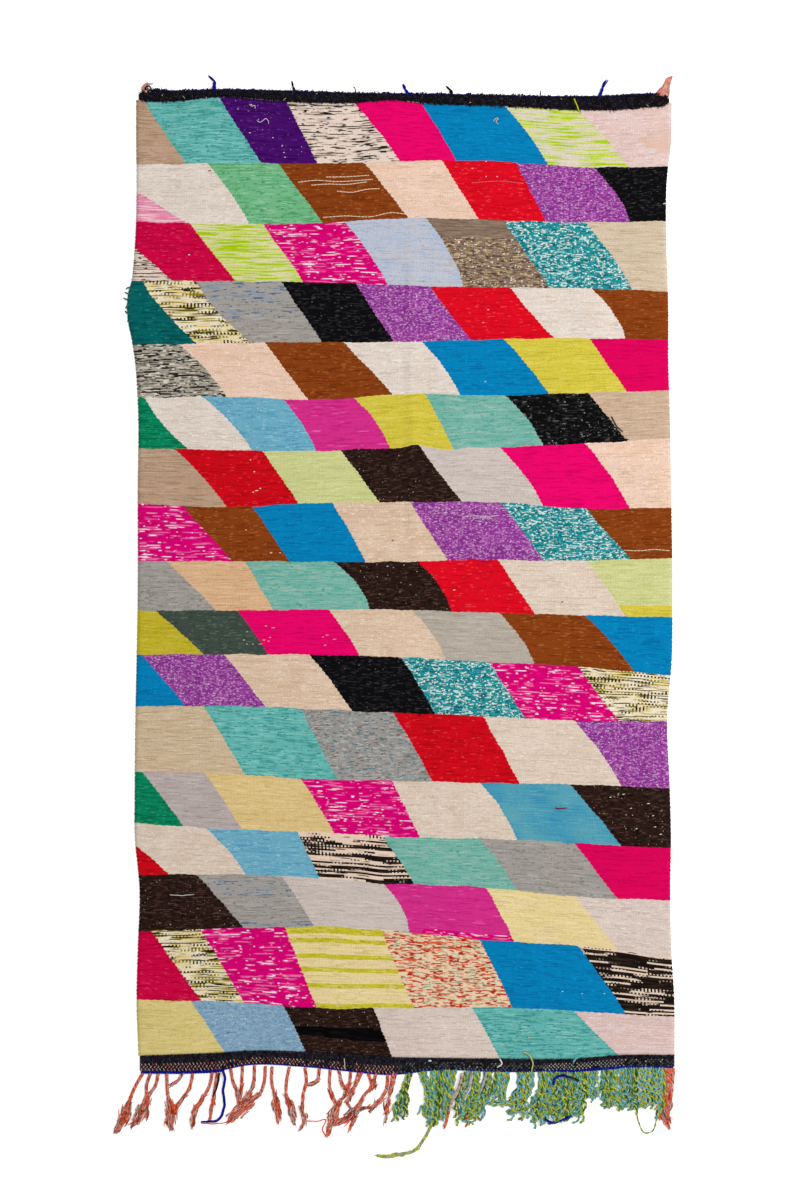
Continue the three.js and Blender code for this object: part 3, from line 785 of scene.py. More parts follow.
# Spun and plied yarn, woven weft-faced: matt and fuzzy, a bead over every second warp, the next shot's bead
# half a row higher between them. So an odd shot shows as a dotted line, and flecks in the yarn as short thin
# lines. Each half row is a little lighter or darker than the next. Grain and fibres are finer on real yarn,
# and are drawn as coarse as they need to show. The yarn map runs along the yarn in metres, and counts rows
# or threads the other way
YARN_ROUGHNESS = 0.92
YARN_SHEEN = 0.012
YARN_SHINE = 0.03
SHOT = 0.5
BEAD_WIDTH = WARP_PITCH / 2
# Painted shade: each bead is painted darker towards its edges, where it meets the beads round it
BEAD_SHADE_TONE = 0.07
# Painted shade: small dark dots where the weft dips between the beads
DIP_SHADE_TONE = 0.16
DIP_SHARE = 0.12
DIP_LENGTH = 4.0
DIP_SOFTNESS = 0.05
GRAIN_TONE = 0.16
GRAIN_SIZE = 3.4
ROW_TONE = 0.07
STREAK_TONE = 0.12
STREAK_SIZE = 90
STAIN_TONE = 0.12
STAIN_SIZE = 150
FIBRE_SIZE = 1.5
FIBRE_SHARE = 0.7
RELIEF = 0.6
RELIEF_STRENGTH = 0.6

# How the noise's values spread, which turns a share into a threshold, and steps through the noise that keep
# the patterns of a yarn, and of two yarns, apart
NOISE_SPREAD = statistics.NormalDist(0.5, 0.119)
ROW_STEP = 1.37
YARN_SEEDS = 97
FLECK_OFFSET = 31
DIP_OFFSET = 13
STREAK_OFFSET = 7


def yarn_material(name, recipe):
    main, *rest = recipe.split()
    material = bpy.data.materials.new(name + "_yarn")
    material.use_nodes = True
    tree = material.node_tree
    shader = tree.nodes["Principled BSDF"]
    seed = sum(ord(letter) for letter in name) % YARN_SEEDS
    add = functools.partial(add_node, tree)

    place = add("ShaderNodeUVMap", uv_map="yarn")
    part = add("ShaderNodeSeparateXYZ", {0: place})
    along, row = part.outputs[0], part.outputs[1]
    beads = add("ShaderNodeMath", {0: along, 1: 1 / (BEAD_WIDTH * MM)}, operation="MULTIPLY")
    column = add("ShaderNodeMath", {0: beads}, operation="FLOOR")
    odd = add("ShaderNodeMath", {0: column, 1: 2.0}, operation="MODULO")
    level = add("ShaderNodeMath", {0: odd, 1: SHOT, 2: row}, operation="MULTIPLY_ADD")
    whole = add("ShaderNodeMath", {0: level}, operation="FLOOR")
    shot = add("ShaderNodeMath", {0: odd, 1: -SHOT, 2: whole}, operation="MULTIPLY_ADD")
    half_row = add("ShaderNodeMath", {0: row, 1: SHOT}, operation="SNAP")

    bead_share = add("ShaderNodeMath", {0: beads}, operation="FRACT")
    shot_share = add("ShaderNodeMath", {0: level}, operation="FRACT")
    bead_arch = add("ShaderNodeMath", {0: bead_share, 1: math.pi}, operation="MULTIPLY")
    shot_arch = add("ShaderNodeMath", {0: shot_share, 1: math.pi}, operation="MULTIPLY")
    bead_round = add("ShaderNodeMath", {0: bead_arch}, operation="SINE")
    shot_round = add("ShaderNodeMath", {0: shot_arch}, operation="SINE")
    bead = add("ShaderNodeMath", {0: bead_round, 1: shot_round}, operation="MULTIPLY")

    def fleck_noise(length, rows, offset, line=half_row):
        across = add(
            "ShaderNodeMath", {0: along, 1: 1 / (length * MM), 2: float(seed + offset)},
            operation="MULTIPLY_ADD")
        upward = add(
            "ShaderNodeMath", {0: line, 1: ROW_STEP / rows, 2: float(seed)}, operation="MULTIPLY_ADD")
        spot = add("ShaderNodeCombineXYZ", {0: across, 1: upward})
        return add(
            "ShaderNodeTexNoise", {"Vector": spot, "Scale": 1.0, "Detail": 1.0}, noise_dimensions="2D")

    colour = linear(main)
    for count in range(0, len(rest), 3):
        kind, fleck, share = rest[count:count + 3]
        length, rows, softness, dotted = FLECKS[kind]
        edge = NOISE_SPREAD.inv_cdf(1 - float(share) / 100)
        flecks = fleck_noise(length, rows, FLECK_OFFSET * count, shot if dotted else half_row)
        mask = add(
            "ShaderNodeMapRange", {"Value": flecks, "From Min": edge - softness, "From Max": edge + softness})
        colour = add("ShaderNodeMix", {"Factor": mask, "A": colour, "B": linear(fleck)}, data_type="RGBA")

    solid = add("ShaderNodeTexCoord").outputs["Object"]
    stain = add("ShaderNodeTexNoise", {"Vector": solid, "Scale": 1 / (STAIN_SIZE * MM)})
    grain = add("ShaderNodeTexNoise", {"Vector": solid, "Scale": 1 / (GRAIN_SIZE * MM), "Detail": 0.0})
    row_shade = add("ShaderNodeTexWhiteNoise", {"W": half_row}, noise_dimensions="1D")
    # The dip mask: dark dots where the weft dips between beads, painted shade
    dip_edge = NOISE_SPREAD.inv_cdf(1 - DIP_SHARE)
    dip = add("ShaderNodeMapRange", {
        "Value": fleck_noise(DIP_LENGTH, SHOT, DIP_OFFSET),
        "From Min": dip_edge - DIP_SOFTNESS, "From Max": dip_edge + DIP_SOFTNESS,
        "To Min": 0.5 + DIP_SHARE / 2, "To Max": DIP_SHARE / 2 - 0.5,
    })
    # Tones over the colour: the bead and dip tones are painted shade, the others are the yarn's own uneven
    # tone, stains and grain
    tones = [
        (bead, BEAD_SHADE_TONE),
        (dip, DIP_SHADE_TONE),
        (row_shade, ROW_TONE),
        (fleck_noise(STREAK_SIZE, SHOT, STREAK_OFFSET), STREAK_TONE),
        (stain, STAIN_TONE),
        (grain, GRAIN_TONE),
    ]
    tone = 1 - sum(amount for _, amount in tones) / 2
    for value, amount in tones:
        tone = add("ShaderNodeMath", {0: value, 1: amount, 2: tone}, operation="MULTIPLY_ADD")
    toned = add(
        "ShaderNodeMix", {"Factor": 1.0, "A": colour, "B": tone}, data_type="RGBA",
        blend_type="MULTIPLY")
    fibre = add("ShaderNodeTexNoise", {"Vector": solid, "Scale": 1 / (FIBRE_SIZE * MM), "Detail": 2.0})
    height = add("ShaderNodeMath", {0: fibre, 1: FIBRE_SHARE, 2: bead}, operation="MULTIPLY_ADD")
    relief = add(
        "ShaderNodeBump", {"Height": height, "Strength": RELIEF_STRENGTH, "Distance": RELIEF * MM})
    tree.links.new(toned.outputs["Result"], shader.inputs["Base Color"])
    tree.links.new(relief.outputs[0], shader.inputs["Normal"])
    shader.inputs["Roughness"].default_value = YARN_ROUGHNESS
    shader.inputs["Sheen Weight"].default_value = YARN_SHEEN
    shader.inputs["Specular IOR Level"].default_value = YARN_SHINE
    return material


def finished(mesh, name, materials):
    """The object of a mesh, at the origin, with its materials and smooth faces."""
    for material in materials:
        mesh.materials.append(material)
    mesh.shade_smooth()
    piece = bpy.data.objects.new(name, mesh)
    bpy.context.scene.collection.objects.link(piece)
    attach(piece, "root")
    return piece


def mesh_of(bm, name):
    """The mesh of a finished bmesh, which is freed."""
    mesh = bpy.data.meshes.new(name)
    bm.to_mesh(mesh)
    bm.free()
    return mesh


def woven_slab(columns, rows, pitch):
    """A closed slab on the unit square: a full grid on top, one of half the cells below, and a rim between.
    Its yarn map runs along each row in metres and counts the rows; its plan, named OFBake, lays the top and
    the underside over one square."""
    bm = bmesh.new()
    bmesh.ops.create_grid(bm, x_segments=columns // 2, y_segments=rows // 2, size=0.5)
    rim = [edge for edge in bm.edges if edge.is_boundary]
    bmesh.ops.subdivide_edges(bm, edges=rim, cuts=1)
    bmesh.ops.reverse_faces(bm, faces=bm.faces)
    top = bmesh.ops.create_grid(bm, x_segments=columns, y_segments=rows, size=0.5)["verts"]
    for vert in top:
        vert.co.z = 1
    bmesh.ops.bridge_loops(bm, edges=[edge for edge in bm.edges if edge.is_boundary])
    bmesh.ops.recalc_face_normals(bm, faces=bm.faces)
    yarn = bm.loops.layers.uv.new("yarn")
    plan = bm.loops.layers.uv.new("OFBake")
    for face in bm.faces:
        for loop in face.loops:
            across, along, height = loop.vert.co
            loop[yarn].uv = ((across + 0.5) * columns * pitch * MM, (along + 0.5) * rows)
            inset = PLAN_INSET if height > 0.5 or abs(face.normal.z) > 0.5 else 1.0
            loop[plan].uv = (0.5 + across * inset, 0.5 + along * inset)
    return bm


# The chart in rows: every course's foot line, row count, yarns and joints, from the fringed end up
PLACES = np.linspace(0, 1, len(COURSES[0][0]))


def course_lines():
    """The lines between courses, from the field's lower edge to its upper edge, by share across."""
    def band_edge(line, gap):
        return lambda share: line(FRINGE_LEFT + share * (FRINGE_RIGHT - FRINGE_LEFT)) + gap

    def foot_line(course, foot):
        line = smooth_line(PLACES, foot)
        bumps = [bump[1:] for bump in COURSE_BUMPS if bump[0] == course]

        def uneven(share):
            waves = [np.sin(share * pace + shift * course) for pace, shift in SWAY_WAVES]
            along = line(share) + COURSE_SWAY * waves[0] * waves[1]
            for place, half_width, rise in bumps:
                along = along + rise * np.exp(-((share * WARPS - place) / half_width) ** 2)
            return along

        return uneven

    inner = [foot_line(course, foot) for course, (foot, _) in enumerate(COURSES, start=1) if foot]
    return [band_edge(bottom_high, PIECE_GAP), *reversed(inner), band_edge(top_low, -PIECE_GAP)]


LINES = course_lines()
HEIGHTS = [float(np.mean(high(PLACES) - low(PLACES))) for low, high in zip(LINES, LINES[1:])]
COURSE_ROWS = [2 * round(height / ROW_HEIGHT / 2) for height in HEIGHTS]
FIRST_ROWS = np.concatenate([[0], np.cumsum(COURSE_ROWS)])
ROWS = int(FIRST_ROWS[-1])
CHARTS = [[entry.split() for entry in chart.split(",")] for _, chart in reversed(COURSES)]


def joint_at(course, number, level):
    """Where a joint lies, in warps, at a level counted in rows from the course's foot. It swells by its bow
    at half the course's height."""
    start, end, *bow = (float(warp) for warp in CHARTS[course][number][1:])
    down = 1 - level / COURSE_ROWS[course]
    place = start + (end - start) * down + 4 * (bow or [JOINT_BOW])[0] * down * (1 - down)
    spot = [count * pace for count, pace in zip((level, number, course), JOINT_PACES)]
    return place + JOINT_WANDER * noise.noise(spot)


def woven_blocks():
    """The yarn of each bead, and where each warp lies in each row: warps are drawn aside to the joints."""
    yarns = np.empty((ROWS, WARPS), dtype=object)
    blocks = np.zeros((ROWS, WARPS), dtype=int)
    warps = np.tile(np.arange(WARPS + 1.0), (ROWS + 1, 1))
    for course, chart in enumerate(CHARTS):
        first = FIRST_ROWS[course]
        count = COURSE_ROWS[course]
        yarns[first:first + count] = chart[0][0]
        for number in range(len(chart) - 1):
            turns = [round(joint_at(course, number, level + 0.5)) for level in range(count)]
            turns = [min(max(turn, 0), WARPS) for turn in turns]
            for level, turn in enumerate(turns):
                yarns[first + level, turn:] = chart[number + 1][0]
                blocks[first + level, turn:] = number + 1
            for level in range(count + 1):
                below = turns[max(level - 1, 0)]
                above = turns[min(level, count - 1)]
                place = joint_at(course, number, level) + (JOINT_TOOTH if level % 2 else -JOINT_TOOTH)
                for warp in range(max(min(below, above), 1), min(max(below, above), WARPS - 1) + 1):
                    step = JOINT_STEP * (2 * warp - below - above)
                    drawn = min(max(place + step, warp - JOINT_REACH), warp + JOINT_REACH)
                    warps[first + level, warp] = drawn
    for number, block, yarn, rows, (left, right) in ODD_WEFTS:
        course = len(COURSES) - number
        spanned = (np.arange(WARPS) >= left) & (np.arange(WARPS) < right)
        for row in rows:
            level = FIRST_ROWS[course] + min(row, COURSE_ROWS[course] - 1)
            yarns[level, spanned & (blocks[level] == block)] = yarn
    for warp in range(1, WARPS + 1):
        warps[:, warp] = np.maximum(warps[:, warp], warps[:, warp - 1] + LEAST_WARP)
    return yarns, warps / warps[:, -1:]


def woven_places(shares):
    """Where each crossing lies on the rug: rows bend with the course lines, warps with the selvedges."""
    along = np.empty_like(shares)
    for course, count in enumerate(COURSE_ROWS):
        for level in range(count + 1):
            row = FIRST_ROWS[course] + level
            low = LINES[course](shares[row])
            along[row] = low + (LINES[course + 1](shares[row]) - low) * level / count
    teeth = np.where(np.arange(WARPS + 1) % 2, COURSE_TOOTH, -COURSE_TOOTH)
    for row in FIRST_ROWS[1:-1]:
        wander = [noise.noise((warp * COURSE_PACE, row, COURSE_LAYER)) for warp in range(WARPS + 1)]
        along[row] += teeth + COURSE_WANDER * np.array(wander)
    left = left_edge(along)
    return left + (right_edge(along) - left) * shares, along


def fold_rise(across, along):
    """How high the fold's ridge stands, fading out at both of its ends."""
    share = (along - FOLD_ENDS[0]) / (FOLD_ENDS[1] - FOLD_ENDS[0])
    fade = min(max(FOLD_FADE * min(share, 1 - share), 0), 1)
    aside = across - FOLD_PLACE - FOLD_LEAN * share
    return FOLD_RISE * fade * math.exp(-(aside / FOLD_WIDTHS[int(aside > 0)]) ** 2)


def woven_field(materials):
    """The weft-faced field: a bead of weft over each warp."""
    yarns, shares = woven_blocks()
    across_places, along_places = woven_places(shares)
    bm = woven_slab(WARPS, ROWS, WARP_PITCH)
    index = {name: number for number, name in enumerate(materials)}
    for face in bm.faces:
        middle = face.calc_center_bounds()
        warp = min(int((middle.x + 0.5) * WARPS), WARPS - 1)
        row = min(int((middle.y + 0.5) * ROWS), ROWS - 1)
        face.material_index = index[yarns[row, warp]]
    for vert in bm.verts:
        warp = round((vert.co.x + 0.5) * WARPS)
        row = round((vert.co.y + 0.5) * ROWS)
        across = across_places[row, warp]
        along = along_places[row, warp]
        rim = warp in (0, WARPS) or row in (0, ROWS)
        if warp in (0, WARPS):
            outward = -1 if warp == 0 else 1
            wander = SCALLOP_WANDER * noise.noise((row * SCALLOP_PACE, warp, 0))
            across += outward * SELVEDGE_SCALLOP * (SCALLOP_TURN * (row % 2) + wander)
        if vert.co.z > 0.5:
            ripple = RIPPLE_RISE * noise.noise((across / RIPPLE_SIZE, along / RIPPLE_SIZE, RIPPLE_LAYER))
            bead = BEAD_RISE * (0.5 - (warp + row) % 2)
            lift = bead + ripple + fold_rise(across, along)
            height = FIELD_THICKNESS * RIM_SHARE if rim else FIELD_THICKNESS - SURFACE_DROP + lift
        else:
            height = FIELD_THICKNESS * UNDER_RIM_SHARE if rim else 0.0
        vert.co = on_rug(across, along, height)
    return finished(mesh_of(bm, "woven_field_weave"), "woven_field_weave", materials.values())


def band_ground(name, low, high, left, right, material):
    """The dark cloth under the twining of a band."""
    columns = 2 * round((right - left) / GROUND_STEP / 2)
    bm = woven_slab(columns, GROUND_ROWS, (right - left) / columns)
    for vert in bm.verts:
        across = left + (vert.co.x + 0.5) * (right - left)
        along = low(across) + (high(across) - low(across)) * (vert.co.y + 0.5)
        rim = max(abs(vert.co.x), abs(vert.co.y)) > ON_RIM
        if vert.co.z > 0.5:
            height = GROUND_THICKNESS * (RIM_SHARE if rim else 1.0)
        else:
            height = GROUND_THICKNESS * UNDER_RIM_SHARE if rim else 0.0
        vert.co = on_rug(across, along, height)
    return finished(mesh_of(bm, name), name, [material])


def unit(vectors):
    """The same directions, each one long."""
    return vectors / (np.linalg.norm(vectors, axis=1, keepdims=True) + TINY)


def sideways(route):
    """The level direction across a route, at each of its points."""
    heading = unit(np.gradient(route[:, :2], axis=0))
    return np.stack([heading[:, 1], -heading[:, 0]], axis=1)


def reach_along(points):
    """How far along a route each of its points lies."""
    steps = np.linalg.norm(np.diff(points, axis=0), axis=1)
    return np.concatenate([[0], np.cumsum(steps)])


def resampled(points, step):
    """A smooth route through points in even steps, and how far along each lies, as a share and in full."""
    points = np.array(points, float)
    reach = reach_along(points)
    count = max(LEAST_STEPS, math.ceil(reach[-1] / step))
    even = np.linspace(0, reach[-1], count + 1)
    lines = [smooth_line(reach, points[:, axis])(even) for axis in range(points.shape[1])]
    return np.stack(lines, axis=1), even / reach[-1], even


def ramp(share, start, end=1.0):
    """Nought up to the start, one from the end on, and even between."""
    return np.clip((share - start) / (end - start), 0, 1)


def wave_angle(rng, reach, lengths):
    """The angle of a wave along a route: its length for one radian and its start are drawn."""
    return reach / rng.uniform(*lengths) + rng.uniform(*WAVE_STARTS)


def thread_rings(points, radii, sides):
    """Rings of corners round a thread, with none below the floor."""
    turn = np.arange(sides) * 2 * math.pi / sides
    heading = unit(np.gradient(points, axis=0))
    side = unit(np.cross(heading, (0, 0, 1)))
    rise = np.cross(side, heading)
    outward = np.cos(turn)[None, :, None] * side[:, None] + np.sin(turn)[None, :, None] * rise[:, None]
    rings = (points[:, None] + np.asarray(radii)[:, None, None] * outward).reshape(-1, 3)
    rings[:, 2] = np.maximum(rings[:, 2], 0.0)
    return rings


def thread_mesh(name, threads, materials, sides):
    """One mesh of round threads, each with points in millimetres, a radius at each point and its yarn. Its
    yarn map runs along each thread in metres, and counts the threads the other way."""
    index = {yarn: number for number, yarn in enumerate(materials)}
    corner = np.arange(sides)
    following = (corner + 1) % sides
    verts, quads, caps = [], [], []
    quad_maps, cap_maps = [], []
    quad_yarns, cap_yarns = [], []
    first = 0
    for number, (points, radii, yarn) in enumerate(threads):
        count = len(points)
        verts.append(thread_rings(points, radii, sides))
        near = first + np.arange(count - 1)[:, None] * sides
        far = near + sides
        quad = [near + corner, far + corner, far + following, near + following]
        quads.append(np.stack(quad, axis=-1).reshape(-1, 4))
        reach = reach_along(points) * MM
        start, end, around, onward = np.broadcast_arrays(
            reach[:-1, None], reach[1:, None], number + corner / sides, number + (corner + 1) / sides)
        quad_map = [start, around, end, around, end, onward, start, onward]
        quad_maps.append(np.stack(quad_map, axis=-1).reshape(-1))
        last = first + (count - 1) * sides
        caps += [list(range(first, first + sides)), list(range(last, last + sides))[::-1]]
        cap_maps += [0.0, float(number)] * sides + [reach[-1], float(number)] * sides
        quad_yarns += [index[yarn]] * ((count - 1) * sides)
        cap_yarns += [index[yarn]] * 2
        first += count * sides
    places = np.concatenate(verts) * MM + np.array((ZERO_ACROSS, ZERO_ALONG, 0.0))
    mesh = bpy.data.meshes.new(name)
    mesh.from_pydata(places.tolist(), [], np.concatenate(quads).tolist() + caps)
    mesh.polygons.foreach_set("material_index", quad_yarns + cap_yarns)
    mesh.uv_layers.new(name="yarn").data.foreach_set("uv", np.concatenate([*quad_maps, cap_maps]))
    return finished(mesh, name, materials.values())


def wound_ply(route, angle, lift, radius, share, yarn):
    """One ply that winds round a level route at the given heights."""
    aside = np.cos(angle) * radius * PLY_ASIDE
    height = lift + np.sin(angle) * radius * PLY_ASIDE
    place = route + sideways(route) * aside[:, None]
    return np.column_stack([place, height]), radius * share * np.ones(len(route)), yarn


def plied(route, lift, radius, yarns, turn_length, start=0.0):
    """Plies twisted round each other along a level route."""
    turns = start + reach_along(route) / turn_length
    return [
        wound_ply(route, 2 * math.pi * (turns + number / len(yarns)), lift, radius, PLY_SHARE, yarn)
        for number, yarn in enumerate(yarns)
    ]


def edge_cord(name, line, ends, radii, yarn, materials):
    """Two yarns twisted round each other along an edge, thicker where they bunch."""
    across = np.arange(*ends, CORD_STEP)
    route = np.stack([across, line(across)], axis=1)
    radius = np.interp(across, *zip(*radii))
    threads = [
        wound_ply(route, phase + 2 * math.pi * across / CORD_TURN, CORD_HEIGHT, radius, CORD_PLY_SHARE, yarn)
        for phase in (0, math.pi)
    ]
    return thread_mesh(name, threads, materials, sides=6)


def top_cord_line(across):
    return top_high(across) - TOP_CORD_INSET


def cord_line(across):
    return bottom_low(across) + CORD_TUCK * (CORD_WIDEST - np.interp(across, *zip(*CORD_RADII)))


def above_cord(across):
    return bottom_low(across) + CORD_ROOM


# Twining: stitches of two yarns lean one way in one row and the other way in the next, as a herringbone. The
# outer rows stray over the band's edges
def twined_stitches(name, low, high, left, right, yarn_of, stray, materials, seed):
    rng = random.Random(seed)
    places = np.arange(left + STITCH_PITCH, right - STITCH_PITCH / 2, STITCH_PITCH)
    arch = STITCH_ARCH[0] - STITCH_ARCH[1] * STITCH_STATIONS ** 2
    taper = 1.0 - STITCH_TAPER * STITCH_STATIONS ** 4
    threads = []
    for row in range(STITCH_ROWS):
        lean = STITCH_LEAN if row % 2 else -STITCH_LEAN
        outward = {0: -1, STITCH_ROWS - 1: 1}.get(row, 0)
        for number, across in enumerate(places):
            yarn = yarn_of(rng, row, number, across)
            radius = STITCH_RADIUS * (1.0 if yarn in BAND_YARNS else BRIGHT_RADIUS_SHARE)
            height = high(across) - low(across)
            middle = low(across) + height * (row + STITCH_SEAT) / STITCH_ROWS
            middle += outward * stray * rng.random() ** 2
            half = height / STITCH_ROWS * STITCH_HALF
            slip = [rng.uniform(-most, most) for most in STITCH_SLIP]
            points = np.stack([
                across + lean * STITCH_STATIONS + slip[0],
                middle + half * STITCH_STATIONS + slip[1],
                GROUND_THICKNESS + radius * arch + slip[2],
            ], axis=1)
            threads.append((points, radius * taper, yarn))
    return thread_mesh(name, threads, materials, sides=4)


def top_stitch_yarn(rng, row, number, across):
    return rng.choice(TOP_STITCHES)


def bottom_stitch_yarn(rng, row, number, across):
    """Dark stitches; in the lower rows every second stitch shows the warps' own colour, bright or dim."""
    side = int(across >= CORAL_END)
    showing = np.interp(across, *zip(*BRIGHT_SHOWING))
    luck = rng.random()
    if row >= SPECKLED_ROWS[side] or (row + number) % 2 or luck > showing + DIM_SHARE * (1 - showing):
        return rng.choice(DARK_STITCHES)
    if luck > showing:
        return DIM_STITCHES[side]
    return rng.choice(BRIGHT_STITCHES[side])


def top_fuzz(materials, seed):
    """Short hairs and nubs that stand out of the black band."""
    rng = random.Random(seed)
    threads = []
    for _ in range(FUZZ_COUNT):
        across = rng.uniform(TOP_LEFT + FUZZ_END_MARGIN, TOP_RIGHT - FUZZ_END_MARGIN)
        low, high = float(top_low(across)), float(top_high(across))
        if rng.random() < FUZZ_INSIDE:
            along = rng.uniform(low + FUZZ_EDGE_MARGIN, high - FUZZ_EDGE_MARGIN)
        else:
            along = rng.choice([low, high])
        root = np.array((across, along))
        way = rng.uniform(0, 2 * math.pi)
        hair = rng.uniform(*FUZZ_LENGTH) * np.array((math.cos(way), math.sin(way)))
        bend = rng.uniform(-FUZZ_BEND, FUZZ_BEND)
        spots = [root, root + hair / 2 + (-bend, bend), root + hair]
        route, share, _ = resampled(np.column_stack([spots, FUZZ_HEIGHTS]), FUZZ_STEP)
        yarn = rng.choices(list(materials), FUZZ_SHARES)[0]
        threads.append((route, FUZZ_RADIUS * (1 - FUZZ_TAPER * share), yarn))
    return thread_mesh("top_band_fuzz", threads, materials, sides=4)


def loose_fibre(rng, route, spread, yarns):
    """One fibre that has come out of a warp end and lies nearly along it."""
    middle = int(rng.uniform(*FRAY_PLACES) * (len(route) - 1))
    ahead = route[min(middle + 1, len(route) - 1)] - route[middle - 1]
    heading = math.atan2(ahead[1], ahead[0]) + rng.gauss(0, FRAY_SPREAD)
    half = rng.uniform(*FRAY_LENGTH) / 2 * FRAY_STATIONS
    place = route[middle] + sideways(route)[middle] * (rng.uniform(-0.5, 0.5) * spread[middle])
    bend = rng.uniform(-FRAY_BEND, FRAY_BEND) * (1 - FRAY_STATIONS ** 2)
    across = place[0] + half * math.cos(heading) - bend * math.sin(heading)
    along = place[1] + half * math.sin(heading) + bend * math.cos(heading)
    radius = rng.uniform(*FRAY_RADIUS) * (1 - FRAY_TAPER * FRAY_STATIONS ** 2)
    lift = rng.uniform(*FRAY_HEIGHT) - rng.uniform(*FRAY_DROOP) * FRAY_STATIONS ** 2
    return np.column_stack([across, along, np.maximum(lift, radius)]), radius, rng.choice(yarns)


def warp_end(rng, points, width, swollen, yarns, plies, fibres):
    """One warp end on the floor: plies twisted as far as its swell, then loose and frayed to its tip."""
    route, share, reach = resampled(points, STRAND_STEP)
    side = sideways(route)
    swell = ramp(share, SWELL_START, SWELL_END)
    swell = swell * swell * (3 - 2 * swell)
    closing = 1 - SWELL_CLOSING * ramp(share, SWELL_END)
    tip = 1 - TIP_TAPER * ramp(share, TIP_START)
    ply = width * STRAND_PLY
    threads = []
    for number in range(plies):
        angle = 2 * math.pi * (number / plies + reach / PLY_TURN) + rng.uniform(*PLY_SLIP)
        spot = (2 * number / max(plies - 1, 1) - 1) * rng.uniform(*PLY_SPREAD)
        twisted = np.cos(angle) * (width / 2 - ply)
        loose = spot * (swollen / 2 - ply) * closing
        wave = PLY_WAVE * swell * np.sin(wave_angle(rng, reach, PLY_WAVE_LENGTH))
        aside = twisted * (1 - swell) + loose * swell + wave
        lift = ply + (width / 2 - ply) * (1 + np.sin(angle)) * PLY_LIFT * (1 - SWELL_SINK * swell)
        lumps = 1 + PLY_LUMP * np.sin(wave_angle(rng, reach, PLY_LUMP_LENGTH))
        radius = ply * lumps * (1 - SWELL_THINNING * swell) * tip
        place = route + side * aside[:, None]
        threads.append((np.column_stack([place, lift]), radius, yarns[number % len(yarns)]))
    threads += [loose_fibre(rng, route, swollen * swell * closing, yarns) for _ in range(fibres)]
    return threads


def coral_fringe(name, strands, materials, seed):
    rng = random.Random(seed)
    threads = []
    for frayed_width, points in strands:
        swollen = frayed_width * CORAL_SWELL
        plies = CORAL_LEAST_PLIES + int(swollen // CORAL_PLY_ROOM)
        fibres = int(swollen * CORAL_FIBRES)
        threads += warp_end(rng, points, CORAL_WIDTH, swollen, CORAL_PLIES, plies, fibres)
    return thread_mesh(name, threads, materials, sides=5)


def lock_root(first, last, spot):
    """Where a yarn of a lock leaves the edge cord."""
    across = first + (last - first) * spot
    return across, float(bottom_low(across)) + LOCK_TUCK


def under_yarn(rng, root, spot, stations):
    """One of the straighter yarns on the floor below a lock."""
    points = [root]
    points += [(across + (spot - 0.5) * width, along * UNDER_REACH) for across, along, width in stations]
    route, share, reach = resampled(points, UNDER_STEP)
    route[:, 0] += UNDER_WAVE * np.sin(wave_angle(rng, reach, UNDER_WAVE_LENGTH))
    radius = UNDER_RADIUS * (1 - UNDER_TAPER * share ** 6)
    return np.column_stack([route, radius]), radius, rng.choice(UNDER_YARNS)


def curly_pair(rng, root, spot, curl, stations):
    """Two thin yarns twisted together: straight at the edge cord, then curling into the lock's tangle."""
    points = [root]
    for number, (across, along, width) in enumerate(stations, start=1):
        aside = (spot - 0.5) * width + rng.gauss(0, LOCK_SCATTER * number)
        points.append((across + aside, along * rng.uniform(*LOCK_REACH)))
    route, share, reach = resampled(points, GREEN_STEP)
    loose = np.maximum(ramp(share, *GREEN_LOOSE), GREEN_LEAST_LOOSE)
    turn = wave_angle(rng, reach, GREEN_WAVE)
    size = rng.uniform(*GREEN_WAVE_SIZE) + curl * rng.uniform(*GREEN_CURL)
    curls = np.stack([np.sin(turn), GREEN_CURL_LENGTH * np.cos(turn)], axis=1)
    route = route + (size * loose)[:, None] * curls
    pile = rng.uniform(*GREEN_PILE) * np.minimum(1, share * GREEN_PILE_PACE)
    lift = GREEN_HEIGHT + pile + GREEN_BOB * loose * np.sin(turn * GREEN_BOB_PACE)
    radius = GREEN_RADIUS * rng.uniform(*GREEN_UNEVENNESS)
    pair = rng.choice(GREEN_PAIRS)
    return plied(route, lift, radius, pair, rng.uniform(*GREEN_TURN), rng.random())


def green_fringe(materials, seed):
    rng = random.Random(seed)
    threads = []
    for first, last, count, curl, stations in GREEN_LOCKS:
        for number in range(1, count):
            spot = number / count
            threads.append(under_yarn(rng, lock_root(first, last, spot), spot, stations))
        for number in range(count):
            spot = (number + 0.5) / count
            threads += curly_pair(rng, lock_root(first, last, spot), spot, curl, stations)
    for radius, fibres, yarns, points in GREEN_STRAYS:
        route, _, _ = resampled(points, STRAY_STEP)
        threads += plied(route, radius, radius, yarns, GREEN_TURN[1])
        threads += warp_end(rng, points, radius, 2 * radius, yarns, 0, fibres)
    return thread_mesh("green_fringe_yarn", threads, materials, sides=4)


def top_ends(materials, seed):
    rng = random.Random(seed)
    threads = []
    for root, by, tip, width, yarn in TOP_ENDS:
        points = [(root, float(top_high(root)) - END_TUCK), by, tip]
        plies = END_PLIES if width < TUFT_WIDTH else TUFT_PLIES
        threads += warp_end(rng, points, min(width, END_WIDEST), width, [yarn], plies, 0)
    return thread_mesh("top_yarn_ends", threads, materials, sides=6)


